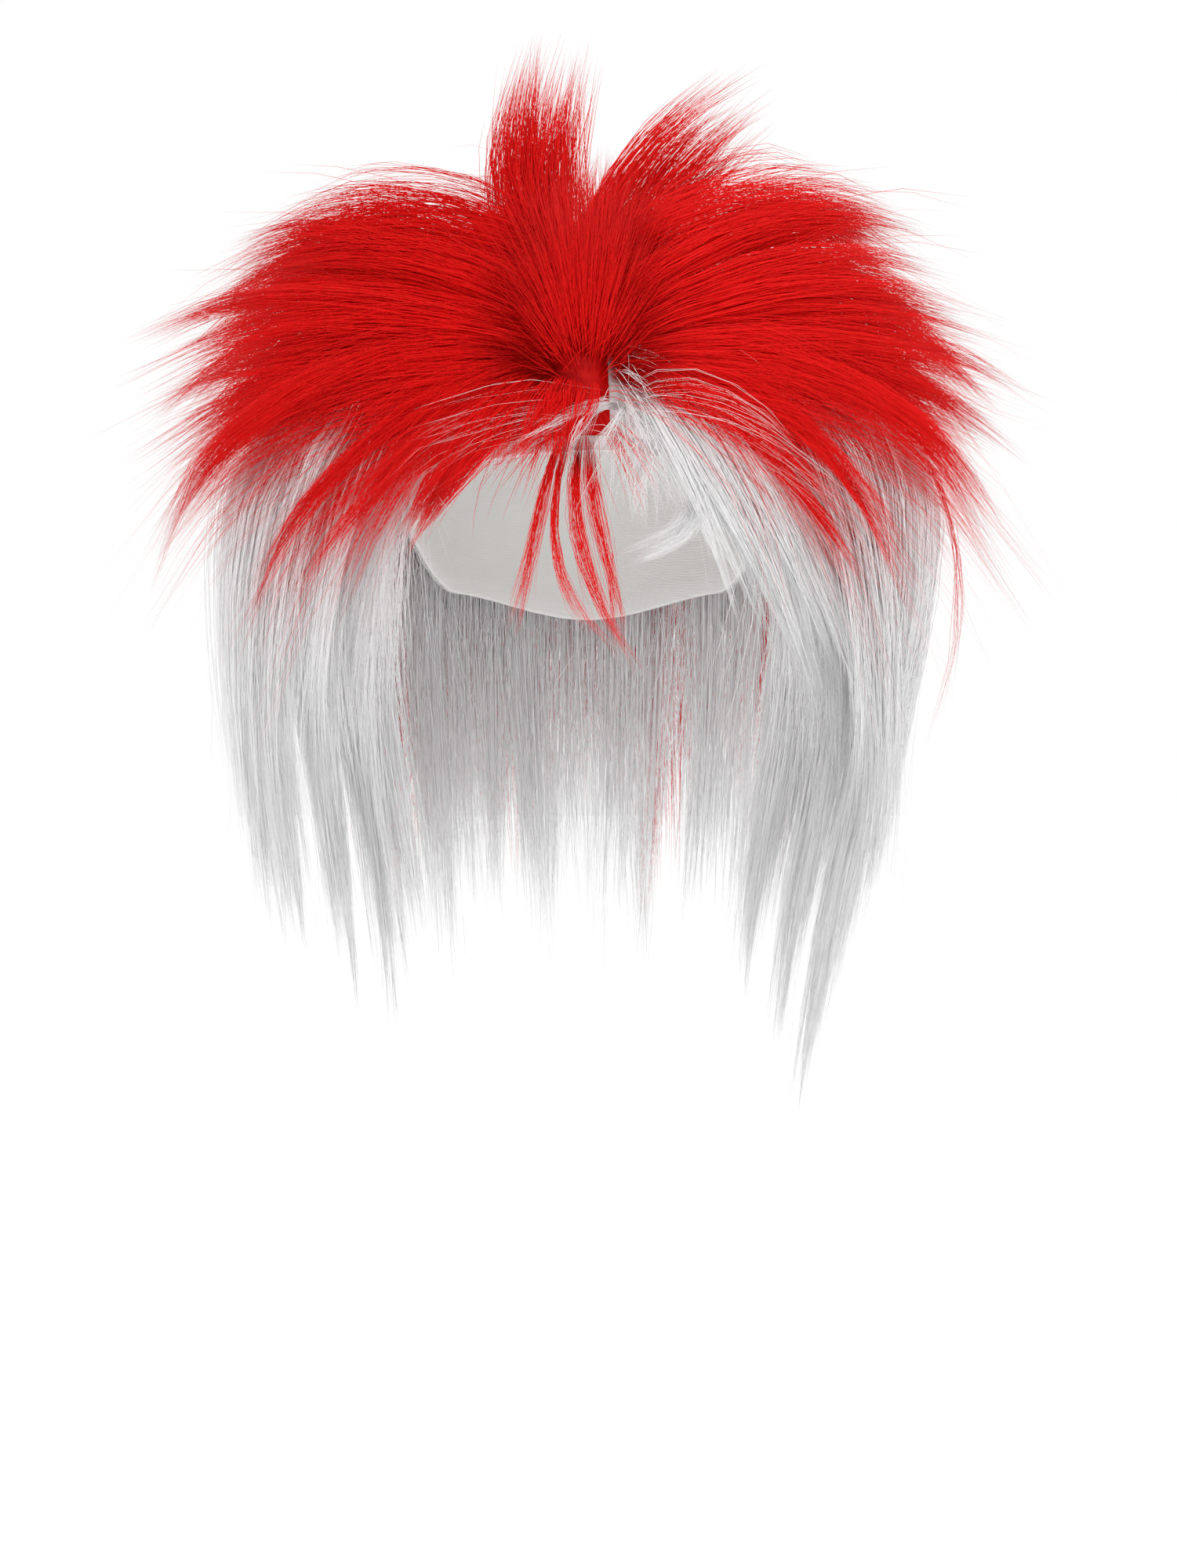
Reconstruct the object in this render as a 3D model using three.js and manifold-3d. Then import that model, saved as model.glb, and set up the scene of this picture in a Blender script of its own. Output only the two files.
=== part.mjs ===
// Red and white mullet wig: a hollow cloth cap that carries fibre hair, each panel of hair being a curved
// backing on the cap with its locks fused to it.
// Millimetres, +Z up. The face opening looks along -Y, and +X is the wearer's left.
// The origin is the inside of the cap's top, where the crown of the head bears.
import * as THREE from "three";
import { mergeVertices } from "three/addons/utils/BufferGeometryUtils.js";
import Module from "manifold-3d";

// Driving dimensions
const HEAD = { halfBreadth: 77, halfLength: 97, crownRise: 105 };
const CAP_WALL = 2;
const SEAT_GAP = 0.8; // cap to backing: wide enough for both faceted walls to stay clear
const BACKING = 4;
const PANEL_GAP = 1; // degrees between neighbouring backings
const LOCK_CLEARANCE = 0.7; // room cut round a lock where it crosses another panel's hair

const ROOT_OFFSET = CAP_WALL + SEAT_GAP + BACKING / 2;
const LOCK_FLOOR = ROOT_OFFSET - 0.7; // locks are trimmed to this height over the head, inside their backing

// How finely the faceted solids are drawn
const LOCK_SIDES = 5;
const LOCK_SPAN = { length: 42, fewest: 3, most: 5 }; // length between a lock's rings, and how many spans
const DOME_STEP = 14; // degrees, along and around the dome

// How a lock's thickness runs: share of its full width at the root and the tip, and where it is fullest
const LOCK_SHAPE = { root: 0.55, fullAt: 0.38, tip: 0.07, taper: 1.7 };

// The cap's edge, from the middle of the forehead round to the nape, the same on both sides.
// polar is the angle from straight up, seen from the middle of the head.
const CAP_RIM = [
  { azimuth: 0, polar: 81 }, // hairline
  { azimuth: 45, polar: 83 },
  { azimuth: 70, polar: 96 }, // temple tab
  { azimuth: 95, polar: 92 }, // over the ear
  { azimuth: 130, polar: 108 },
  { azimuth: 180, polar: 114 }, // nape
];

// Where the panels meet on the cap, in degrees
const CROWN_EDGE = 58; // polar, all round
const BACK_LAYER_EDGE = 72; // polar
const FRINGE_PART = 7; // azimuth where the red fringe meets the white forelock
const TEMPLE = 52; // azimuth where the fringe meets the side hair
const BEHIND_EAR = 125; // azimuth where the side hair meets the tail

// Wing locks of the crown, from the top of the wing down to the cheek, as seen from the front.
// Each row makes a front lock and a fuller lock behind it.
const WING_RIGHT = [
  { tipX: -118, tipY: 0, tipZ: 30, azimuth: -6, polar: 27, lift: 34, arch: 16, width: 34 },
  { tipX: -141, tipY: 2, tipZ: 20, azimuth: -5, polar: 33, lift: 38, arch: 18, width: 36 },
  { tipX: -161, tipY: 0, tipZ: -8, azimuth: -5, polar: 39, lift: 40, arch: 24, width: 34 },
  { tipX: -178, tipY: -8, tipZ: -21, azimuth: -4, polar: 45, lift: 36, arch: 20, width: 36 },
  { tipX: -190, tipY: -16, tipZ: -52, azimuth: -4, polar: 50, lift: 30, arch: 20, width: 38 },
  { tipX: -180, tipY: -30, tipZ: -79, azimuth: -5, polar: 53, lift: 26, arch: 24, width: 36 },
  { tipX: -181, tipY: -40, tipZ: -122, azimuth: -8, polar: 55, lift: 28, arch: 46, width: 32 },
  { tipX: -137, tipY: -66, tipZ: -152, azimuth: -10, polar: 56, lift: 24, arch: 46, width: 24 },
  { tipX: -103, tipY: -82, tipZ: -135, azimuth: -10, polar: 56, lift: 22, arch: 34, width: 22 },
];
const WING_LEFT = [
  { tipX: 104, tipY: 0, tipZ: 38, azimuth: 6, polar: 27, lift: 32, arch: 16, width: 34 },
  { tipX: 134, tipY: 2, tipZ: 26, azimuth: 5, polar: 33, lift: 38, arch: 18, width: 36 },
  { tipX: 144, tipY: 0, tipZ: 6, azimuth: 5, polar: 39, lift: 42, arch: 24, width: 36 },
  { tipX: 166, tipY: -8, tipZ: -21, azimuth: 4, polar: 45, lift: 36, arch: 22, width: 36 },
  { tipX: 186, tipY: -16, tipZ: -49, azimuth: 4, polar: 50, lift: 30, arch: 20, width: 38 },
  { tipX: 172, tipY: -30, tipZ: -79, azimuth: 5, polar: 53, lift: 26, arch: 24, width: 36 },
  { tipX: 176, tipY: -40, tipZ: -119, azimuth: 8, polar: 55, lift: 28, arch: 46, width: 32 },
  { tipX: 134, tipY: -66, tipZ: -152, azimuth: 10, polar: 56, lift: 24, arch: 46, width: 22 },
  { tipX: 110, tipY: -80, tipZ: -131, azimuth: 10, polar: 56, lift: 22, arch: 34, width: 22 },
];
// The lock behind each wing lock: how far back its tip and root lie, and its share of the reach
const WING_BEHIND = { rows: 6, reach: 0.94, back: 58, azimuth: 58, polar: -5, width: 1.2 };

// Upright spikes that stand from the whorl, and the locks over the top of the head behind them
const SPIKES = [
  { tipX: -25, tipY: -14, tipZ: 88, azimuth: -14, polar: 40, lift: 24, arch: 6, width: 34 },
  { tipX: -4, tipY: -8, tipZ: 95, azimuth: -7, polar: 43, lift: 20, arch: 4, width: 26 },
  { tipX: 63, tipY: -10, tipZ: 78, azimuth: 3, polar: 42, lift: 22, arch: 6, width: 28 },
  { tipX: 70, tipY: 0, tipZ: 62, azimuth: 8, polar: 40, lift: 20, arch: 6, width: 24 },
  { tipX: -68, tipY: 45, tipZ: 33, azimuth: -75, polar: 12, lift: 24, arch: 12, width: 44 },
  { tipX: 62, tipY: 45, tipZ: 38, azimuth: 75, polar: 12, lift: 24, arch: 12, width: 44 },
];

// Rings of locks round the back of the crown, spread evenly between two azimuths
const CROWN_BACK = [
  { count: 5, from: 112, to: 248, polar: 10, reach: 98, tipZ: 0, lift: 20, arch: 12, width: 44 },
  { count: 6, from: 116, to: 244, polar: 40, reach: 134, tipZ: -104, lift: 40, arch: 40, width: 44 },
];

const FRINGE_RED = [
  { tipX: -72, tipY: -112, tipZ: -126, azimuth: -14, polar: 64, lift: 22, arch: 12, width: 28 },
  { tipX: -41, tipY: -117, tipZ: -109, azimuth: -8, polar: 65, lift: 20, arch: 8, width: 24 },
  { tipX: -11, tipY: -118, tipZ: -107, azimuth: -3, polar: 65, lift: 16, arch: 8, width: 24 },
  { tipX: -28, tipY: -114, tipZ: -159, azimuth: -8, polar: 75, lift: 18, arch: 22, width: 8 },
  { tipX: -9, tipY: -116, tipZ: -163, azimuth: -6, polar: 76, lift: 18, arch: 22, width: 9 },
  { tipX: 9, tipY: -118, tipZ: -160, azimuth: -4, polar: 76, lift: 18, arch: 22, width: 9 },
  { tipX: 25, tipY: -119, tipZ: -178, azimuth: -1, polar: 76, lift: 18, arch: 22, width: 8 },
];

const FRINGE_WHITE = [
  { tipX: 68, tipY: -97, tipZ: -167, azimuth: 14, polar: 65, lift: 26, arch: 28, width: 26 },
  { tipX: 94, tipY: -88, tipZ: -192, azimuth: 22, polar: 65, lift: 26, arch: 34, width: 32 },
  { tipX: 117, tipY: -76, tipZ: -205, azimuth: 32, polar: 66, lift: 26, arch: 36, width: 32 },
  { tipX: 128, tipY: -66, tipZ: -191, azimuth: 43, polar: 67, lift: 24, arch: 38, width: 28 },
  { tipX: 20, tipY: -107, tipZ: -132, azimuth: 24, polar: 78, lift: 12, arch: -14, width: 11 }, // hooked tuft
];

// Side hair: puffed out level from the cap by puff, then hanging to the tip
const SIDE_RIGHT = [
  { azimuth: -57, polar: 66, tipX: -112, tipY: -62, tipZ: -214, puff: 56, width: 32 },
  { azimuth: -67, polar: 66, tipX: -140, tipY: -40, tipZ: -262, puff: 94, width: 36 },
  { azimuth: -78, polar: 66, tipX: -134, tipY: -18, tipZ: -281, puff: 106, width: 38 },
  { azimuth: -90, polar: 66, tipX: -120, tipY: 6, tipZ: -293, puff: 104, width: 38 },
  { azimuth: -103, polar: 66, tipX: -100, tipY: 32, tipZ: -317, puff: 88, width: 38 },
  { azimuth: -117, polar: 68, tipX: -84, tipY: 56, tipZ: -322, puff: 72, width: 36 },
  { azimuth: -64, polar: 84, tipX: -102, tipY: -32, tipZ: -240, puff: 38, width: 32 },
  { azimuth: -84, polar: 84, tipX: -100, tipY: 4, tipZ: -297, puff: 48, width: 36 },
  { azimuth: -106, polar: 90, tipX: -70, tipY: 44, tipZ: -316, puff: 34, width: 36 },
];
const SIDE_LEFT = [
  { azimuth: 57, polar: 66, tipX: 118, tipY: -60, tipZ: -216, puff: 56, width: 32 },
  { azimuth: 67, polar: 66, tipX: 113, tipY: -38, tipZ: -272, puff: 96, width: 36 },
  { azimuth: 79, polar: 66, tipX: 98, tipY: -18, tipZ: -322, puff: 110, width: 38 },
  { azimuth: 90, polar: 66, tipX: 90, tipY: 2, tipZ: -355, puff: 106, width: 36 },
  { azimuth: 103, polar: 66, tipX: 80, tipY: 30, tipZ: -336, puff: 94, width: 36 },
  { azimuth: 117, polar: 68, tipX: 68, tipY: 54, tipZ: -312, puff: 74, width: 36 },
  { azimuth: 64, polar: 84, tipX: 94, tipY: -32, tipZ: -244, puff: 38, width: 32 },
  { azimuth: 84, polar: 84, tipX: 92, tipY: 4, tipZ: -316, puff: 52, width: 36 },
  { azimuth: 106, polar: 90, tipX: 64, tipY: 44, tipZ: -310, puff: 34, width: 36 },
];

// The tail and the red layer over it: locks spread evenly round the back, every other one shorter
const TAIL = {
  count: 7,
  from: 134,
  to: 226,
  polar: 86,
  spread: 82,
  tipY: 84,
  drop: 320,
  shorter: 26,
  puff: 26,
  width: 38,
};
const BACK_LAYER = {
  count: 7,
  from: 131,
  to: 229,
  polar: 65,
  spread: 112,
  tipY: 106,
  drop: 292,
  shorter: 60,
  puff: 42,
  width: 38,
};

const ROUND_BACK = 0.5; // how far the row of tips curves forward at its ends
const HANG = { rise: 18, tipPuff: 0.34, tipHang: 0.45 }; // how a hanging lock leaves the cap and ends
const FLATNESS = 0.52; // a lock's thickness as a share of its width

const COLOURS = {
  redFibre: new THREE.MeshStandardMaterial({ color: 0xdf1d1a, roughness: 0.45, metalness: 0 }),
  whiteFibre: new THREE.MeshStandardMaterial({ color: 0xe6e7ea, roughness: 0.5, metalness: 0 }),
  capCloth: new THREE.MeshStandardMaterial({ color: 0xe9e6e0, roughness: 0.9, metalness: 0 }),
};

const UP = new THREE.Vector3(0, 0, 1);
const HEAD_CENTRE = new THREE.Vector3(0, 0, -HEAD.crownRise);
const { clamp, degToRad, lerp, smoothstep } = THREE.MathUtils;
const wasm = await Module();
wasm.setup();

// A point at a height over the head's surface: azimuth 0 is the middle of the forehead, polar 0 the top.
function onHead(azimuth, polar, offset) {
  const around = degToRad(azimuth);
  const down = degToRad(polar);
  return new THREE.Vector3(
    (HEAD.halfBreadth + offset) * Math.sin(down) * Math.sin(around),
    -(HEAD.halfLength + offset) * Math.sin(down) * Math.cos(around),
    (HEAD.crownRise + offset) * Math.cos(down) - HEAD.crownRise,
  );
}

// The outward direction at a point near the head's surface.
function outwardAt(point) {
  return new THREE.Vector3(
    point.x / HEAD.halfBreadth ** 2,
    point.y / HEAD.halfLength ** 2,
    (point.z - HEAD_CENTRE.z) / HEAD.crownRise ** 2,
  ).normalize();
}

// The polar angle of the cap's edge at an azimuth, eased between the rows of its table.
function capEdge(azimuth) {
  const turn = Math.abs(((azimuth + 180) % 360) - 180);
  const next = Math.max(1, CAP_RIM.findIndex((row) => row.azimuth >= turn));
  const [a, b] = [CAP_RIM[next - 1], CAP_RIM[next]];
  return lerp(a.polar, b.polar, smoothstep(turn, a.azimuth, b.azimuth));
}

const crownEdge = () => CROWN_EDGE;
const backLayerEdge = () => BACK_LAYER_EDGE;

// Evenly spread values from one to another, at most a step apart.
const steps = (from, to, step) => {
  const count = Math.max(1, Math.ceil((to - from) / step));
  return Array.from({ length: count + 1 }, (_, i) => lerp(from, to, i / count));
};

// A closed solid skinned over rings of equal length. An open row of rings is closed by a strip at each end.
function skinned(rings, closed = false) {
  const size = rings[0].length;
  const index = [];
  const quad = (a, b, c, d) => index.push(a, b, c, a, c, d);
  const last = closed ? rings.length : rings.length - 1;
  for (let k = 0; k < last; k++) {
    const here = k * size;
    const next = ((k + 1) % rings.length) * size;
    for (let i = 0; i < size; i++) {
      const j = (i + 1) % size;
      quad(here + i, here + j, next + j, next + i);
    }
  }
  for (let i = 0; !closed && i < size / 2 - 1; i++) {
    const far = (rings.length - 1) * size;
    quad(size - 1 - i, size - 2 - i, i + 1, i);
    quad(far + i, far + i + 1, far + size - 2 - i, far + size - 1 - i);
  }
  const geometry = new THREE.BufferGeometry().setFromPoints(rings.flat()).setIndex(index);
  return solidOf(geometry);
}

// A three.js geometry as a solid, facing outwards, with the triangles that collapse at a pole left out.
function solidOf(geometry) {
  geometry.deleteAttribute("normal");
  geometry.deleteAttribute("uv");
  const merged = mergeVertices(geometry, 1e-4);
  const at = merged.index.array;
  const whole = [];
  for (let i = 0; i < at.length; i += 3) {
    const [a, b, c] = [at[i], at[i + 1], at[i + 2]];
    if (a !== b && b !== c && a !== c) whole.push(a, b, c);
  }
  const vertProperties = merged.attributes.position.array;
  const skinOf = (corners) => {
    const triVerts = Uint32Array.from(corners);
    return new wasm.Mesh({ numProp: 3, vertProperties, triVerts });
  };
  const made = new wasm.Manifold(skinOf(whole));
  return made.volume() > 0 ? made : new wasm.Manifold(skinOf(whole.reverse()));
}

// One line from a panel's upper edge to its lower edge and back, below and above, at one azimuth.
function wallRing(azimuth, fromPolar, toPolar, rows, low, high) {
  const down = Array.from({ length: rows + 1 }, (_, i) => lerp(fromPolar, toPolar, i / rows));
  const under = down.map((polar) => onHead(azimuth, polar, low));
  const over = down.reverse().map((polar) => onHead(azimuth, polar, high));
  return [...under, ...over];
}

// A dome wall from the top of the head down to its edge.
function domeWall(edge, low, high) {
  const turns = steps(0, 360, DOME_STEP).slice(0, -1);
  const rows = Math.ceil(Math.max(...turns.map(edge)) / DOME_STEP);
  return skinned(turns.map((azimuth) => wallRing(azimuth, 0, edge(azimuth), rows, low, high)), true);
}

// A curved backing on the cap between two azimuths, from an upper to a lower edge.
function bandWall(from, to, upper, lower) {
  const low = CAP_WALL + SEAT_GAP;
  const turns = steps(from + PANEL_GAP, to - PANEL_GAP, DOME_STEP);
  const rows = Math.ceil(Math.max(...turns.map((azimuth) => lower(azimuth) - upper(azimuth))) / DOME_STEP);
  return skinned(
    turns.map((azimuth) =>
      wallRing(azimuth, upper(azimuth) + PANEL_GAP, lower(azimuth) - PANEL_GAP, rows, low, low + BACKING),
    ),
  );
}

// A lock's share of its full width at t along it.
function fullness(t) {
  const { root, fullAt, tip, taper } = LOCK_SHAPE;
  if (t < fullAt) return lerp(root, 1, smoothstep(t, 0, fullAt));
  return lerp(1, tip, ((t - fullAt) / (1 - fullAt)) ** taper);
}

// A flattened lock along a curve. Its flat side starts along the head and is carried along without twisting.
function lockSolid({ path, width, outward }, grow) {
  const spans = clamp(Math.round(path.getLength() / LOCK_SPAN.length), LOCK_SPAN.fewest, LOCK_SPAN.most);
  let across = null;
  let before = null;
  const rings = [];
  for (let k = 0; k <= spans; k++) {
    const t = k / spans;
    const tangent = path.getTangent(t);
    if (before) across.applyQuaternion(new THREE.Quaternion().setFromUnitVectors(before, tangent));
    else across = new THREE.Vector3().crossVectors(tangent, outward).normalize();
    before = tangent;
    const face = new THREE.Vector3().crossVectors(across, tangent);
    const half = (width / 2) * fullness(t);
    const centre = path.getPoint(t);
    rings.push(
      Array.from({ length: LOCK_SIDES }, (_, i) => {
        const turn = ((i + 0.5) / LOCK_SIDES) * 2 * Math.PI;
        return centre
          .clone()
          .addScaledVector(across, (half + grow) * Math.cos(turn))
          .addScaledVector(face, (half * FLATNESS + grow) * Math.sin(turn));
      }),
    );
  }
  return skinned(rings);
}

// A swept lock rises off the head by lift and bends over by arch on its way to the tip.
function sweptLock({ azimuth, polar, tipX, tipY, tipZ, lift, arch, width }) {
  const root = onHead(azimuth, polar, ROOT_OFFSET);
  const tip = new THREE.Vector3(tipX, tipY, tipZ);
  const outward = outwardAt(root);
  const near = root.clone().lerp(tip, 0.3).addScaledVector(outward, lift);
  const far = root.clone().lerp(tip, 0.7).addScaledVector(UP, arch);
  return { path: new THREE.CubicBezierCurve3(root, near, far, tip), width, outward };
}

// A hanging lock leaves the head level, then falls to its tip.
function hangingLock({ azimuth, polar, tipX, tipY, tipZ, puff, width }) {
  const root = onHead(azimuth, polar, ROOT_OFFSET);
  const tip = new THREE.Vector3(tipX, tipY, tipZ);
  const outward = outwardAt(root);
  const level = outward.clone().setZ(0).normalize();
  const near = root.clone().addScaledVector(level, puff).addScaledVector(UP, HANG.rise);
  const far = tip.clone().addScaledVector(level, puff * HANG.tipPuff);
  far.addScaledVector(UP, (root.z - tip.z) * HANG.tipHang);
  return { path: new THREE.CubicBezierCurve3(root, near, far, tip), width, outward };
}

// The lock that fills in behind a wing lock.
function behindWing(row) {
  const side = Math.sign(row.tipX);
  const { reach, back, azimuth, polar, width } = WING_BEHIND;
  return {
    ...row,
    tipX: row.tipX * reach,
    tipY: row.tipY + back,
    azimuth: row.azimuth + side * azimuth,
    polar: row.polar + polar,
    width: row.width * width,
  };
}

// A ring of swept locks that point away from the head's middle.
function crownRing({ count, from, to, reach, ...lock }) {
  return steps(from, to, (to - from) / (count - 1)).map((azimuth) => {
    const around = degToRad(azimuth);
    return { ...lock, azimuth, tipX: reach * Math.sin(around), tipY: -reach * Math.cos(around) };
  });
}

// A row of locks hanging down the back, fanned sideways by spread, every other one shorter.
function hangingRow({ count, from, to, spread, drop, shorter, tipY, ...lock }) {
  return steps(from, to, (to - from) / (count - 1)).map((azimuth, i) => {
    const aside = Math.sin(degToRad(azimuth));
    return {
      ...lock,
      azimuth,
      tipX: spread * aside,
      tipY: tipY * Math.sqrt(1 - aside * aside * ROUND_BACK),
      tipZ: -drop + (i % 2) * shorter,
    };
  });
}

// A wing's front locks and the fuller ones behind them.
const wholeWing = (wing) => [...wing, ...wing.slice(0, WING_BEHIND.rows).map(behindWing)];

// Each panel of hair: its backing, its locks and its fibre, from the outermost to the innermost
const PANELS = [
  {
    name: "crown_hair",
    fibre: COLOURS.redFibre,
    backing: domeWall(crownEdge, CAP_WALL + SEAT_GAP, CAP_WALL + SEAT_GAP + BACKING),
    locks: [
      ...[WING_RIGHT, WING_LEFT].flatMap(wholeWing),
      ...SPIKES,
      ...CROWN_BACK.flatMap(crownRing),
    ].map(sweptLock),
  },
  {
    name: "fringe_red",
    fibre: COLOURS.redFibre,
    backing: bandWall(-TEMPLE, FRINGE_PART, crownEdge, capEdge),
    locks: FRINGE_RED.map(sweptLock),
  },
  {
    name: "fringe_white",
    fibre: COLOURS.whiteFibre,
    backing: bandWall(FRINGE_PART, TEMPLE, crownEdge, capEdge),
    locks: FRINGE_WHITE.map(sweptLock),
  },
  {
    name: "back_layer",
    fibre: COLOURS.redFibre,
    backing: bandWall(BEHIND_EAR, 360 - BEHIND_EAR, crownEdge, backLayerEdge),
    locks: hangingRow(BACK_LAYER).map(hangingLock),
  },
  {
    name: "side_hair_right",
    fibre: COLOURS.whiteFibre,
    backing: bandWall(-BEHIND_EAR, -TEMPLE, crownEdge, capEdge),
    locks: SIDE_RIGHT.map(hangingLock),
  },
  {
    name: "side_hair_left",
    fibre: COLOURS.whiteFibre,
    backing: bandWall(TEMPLE, BEHIND_EAR, crownEdge, capEdge),
    locks: SIDE_LEFT.map(hangingLock),
  },
  {
    name: "back_hair",
    fibre: COLOURS.whiteFibre,
    backing: bandWall(BEHIND_EAR, 360 - BEHIND_EAR, backLayerEdge, capEdge),
    locks: hangingRow(TAIL).map(hangingLock),
  },
];

// The head with a skin up to the locks' floor: what the locks are trimmed to.
function headForm(offset) {
  const geometry = new THREE.SphereGeometry(1, 360 / DOME_STEP, 180 / DOME_STEP);
  geometry.rotateX(Math.PI / 2);
  geometry.scale(HEAD.halfBreadth + offset, HEAD.halfLength + offset, HEAD.crownRise + offset);
  geometry.translate(HEAD_CENTRE.x, HEAD_CENTRE.y, HEAD_CENTRE.z);
  return solidOf(geometry);
}

const together = (solids) => solids.reduce((all, one) => all.add(one));

function namedMesh(name, solid, material) {
  const { vertProperties, triVerts } = solid.getMesh();
  const geometry = new THREE.BufferGeometry();
  geometry.setAttribute("position", new THREE.BufferAttribute(new Float32Array(vertProperties), 3));
  geometry.setIndex(new THREE.BufferAttribute(new Uint32Array(triVerts), 1));
  geometry.computeVertexNormals();
  const mesh = new THREE.Mesh(geometry, material);
  mesh.name = name;
  return mesh;
}

const wig = new THREE.Group();
wig.name = "mullet_wig";
wig.add(namedMesh("cap", domeWall(capEdge, 0, CAP_WALL), COLOURS.capCloth));

const head = headForm(LOCK_FLOOR);
let taken = null; // the room that the outer panels' locks need
for (const { name, fibre, backing, locks } of PANELS) {
  const hair = together(locks.map((lock) => lockSolid(lock, 0))).subtract(head);
  const panel = taken ? backing.add(hair).subtract(taken) : backing.add(hair);
  wig.add(namedMesh(name, panel, fibre));
  const room = together(locks.map((lock) => lockSolid(lock, LOCK_CLEARANCE)));
  taken = taken ? taken.add(room) : room;
}

export default wig;
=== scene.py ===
"""Red and white mullet wig: fibre hair on a stretch cap.

Metres, +Z up. The face opening looks along -Y and +X is the wearer's left. The origin is the inside of the
cap's top, where the crown of the head bears.
"""
from __future__ import annotations

import logging
import math
from dataclasses import dataclass, replace
from enum import Enum
from typing import Callable, NamedTuple, Sequence

import bmesh
import bpy
import numpy as np
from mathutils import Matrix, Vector


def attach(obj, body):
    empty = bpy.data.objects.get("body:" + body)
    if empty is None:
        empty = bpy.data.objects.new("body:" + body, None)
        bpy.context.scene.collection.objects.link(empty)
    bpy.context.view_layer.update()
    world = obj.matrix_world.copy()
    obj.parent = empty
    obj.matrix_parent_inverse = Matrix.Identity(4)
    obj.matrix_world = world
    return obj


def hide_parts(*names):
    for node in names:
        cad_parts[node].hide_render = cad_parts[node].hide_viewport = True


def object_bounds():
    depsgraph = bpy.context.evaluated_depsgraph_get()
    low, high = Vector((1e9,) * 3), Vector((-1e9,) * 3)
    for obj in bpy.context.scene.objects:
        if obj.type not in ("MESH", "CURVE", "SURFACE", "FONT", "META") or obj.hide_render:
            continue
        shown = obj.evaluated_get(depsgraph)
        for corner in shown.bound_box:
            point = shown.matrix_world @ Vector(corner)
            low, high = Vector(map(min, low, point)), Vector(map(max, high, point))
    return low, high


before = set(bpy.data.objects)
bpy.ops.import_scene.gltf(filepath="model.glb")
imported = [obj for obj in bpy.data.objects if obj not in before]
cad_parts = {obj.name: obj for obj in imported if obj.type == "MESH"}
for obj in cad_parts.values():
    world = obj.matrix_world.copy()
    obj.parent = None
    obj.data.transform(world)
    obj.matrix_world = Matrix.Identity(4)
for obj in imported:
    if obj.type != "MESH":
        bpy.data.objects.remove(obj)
CAD_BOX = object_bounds()

log = logging.getLogger("mullet_wig")
Array = np.ndarray
Triple = tuple[float, float, float]
Socket = bpy.types.NodeSocket

MM = 0.001
UP = np.array([0.0, 0.0, 1.0])
SEED = 7
FIBRE_MAP = "OFBake"
FIBRE_COLUMNS = 256
COLUMN_MARGIN = 0.1
COLUMN_SPAN = 0.8
FIBRE_SIDES = 3
TINY = 1e-12
FULL_TURN = 2 * np.pi


class Slot(Enum):
    """Material slots of the record."""

    RED = "red_fibre"
    WHITE = "white_fibre"
    CAP = "cap_cloth"


class Hand(Enum):
    """The wearer's two sides."""

    RIGHT = "right"
    LEFT = "left"


class Sweep(NamedTuple):
    """A lock that rises off the head by lift and bends over by arch on its way to its tip (mm, degrees)."""

    tip_x: float
    tip_y: float
    tip_z: float
    azimuth: float
    polar: float
    lift: float
    arch: float
    width: float


class Ring(NamedTuple):
    """Locks alike in all but their azimuth, spread evenly round the head, tips at reach (mm, degrees)."""

    count: int
    start: float
    end: float
    reach: float
    lock: Sweep


class Hang(NamedTuple):
    """A lock that leaves the head level by puff and then falls to its tip (mm, degrees)."""

    azimuth: float
    polar: float
    tip_x: float
    tip_y: float
    tip_z: float
    puff: float
    width: float


class Wisp(NamedTuple):
    """A thin lock seen from the front: its root, two pulls and tip, and how far forward its tip is (mm)."""

    root_x: float
    root_z: float
    near_x: float
    near_z: float
    far_x: float
    far_z: float
    tip_x: float
    tip_z: float
    tip_y: float
    width: float


# The crown's locks, from the top of each wing down to the cheek
WINGS = {
    Hand.RIGHT: (
        Sweep(-118, 0, 30, -6, 27, 12, 26, 34),
        Sweep(-141, 2, 20, -5, 33, 24, 24, 36),
        Sweep(-161, 0, -8, -5, 39, 40, 24, 34),
        Sweep(-178, -8, -21, -4, 45, 36, 20, 36),
        Sweep(-190, -16, -52, -4, 50, 30, 20, 38),
        Sweep(-180, -30, -79, -5, 53, 26, 24, 36),
        Sweep(-181, -40, -122, -8, 55, 28, 46, 32),
        Sweep(-137, -66, -152, -10, 56, 24, 46, 24),
        Sweep(-103, -82, -135, -10, 56, 22, 34, 22),
    ),
    Hand.LEFT: (
        Sweep(104, 0, 38, 6, 27, 12, 26, 34),
        Sweep(134, 2, 26, 5, 33, 24, 24, 36),
        Sweep(144, 0, 6, 5, 39, 42, 24, 36),
        Sweep(166, -8, -21, 4, 45, 36, 22, 36),
        Sweep(186, -16, -49, 4, 50, 30, 20, 38),
        Sweep(172, -30, -79, 5, 53, 26, 24, 36),
        Sweep(176, -40, -119, 8, 55, 28, 46, 32),
        Sweep(134, -66, -152, 10, 56, 24, 46, 22),
        Sweep(110, -80, -131, 10, 56, 22, 34, 22),
    ),
}
RIDGE_ROWS = slice(0, 3)
BODY_ROWS = slice(1, 6)
LOWER_ROWS = slice(5, None)

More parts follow.
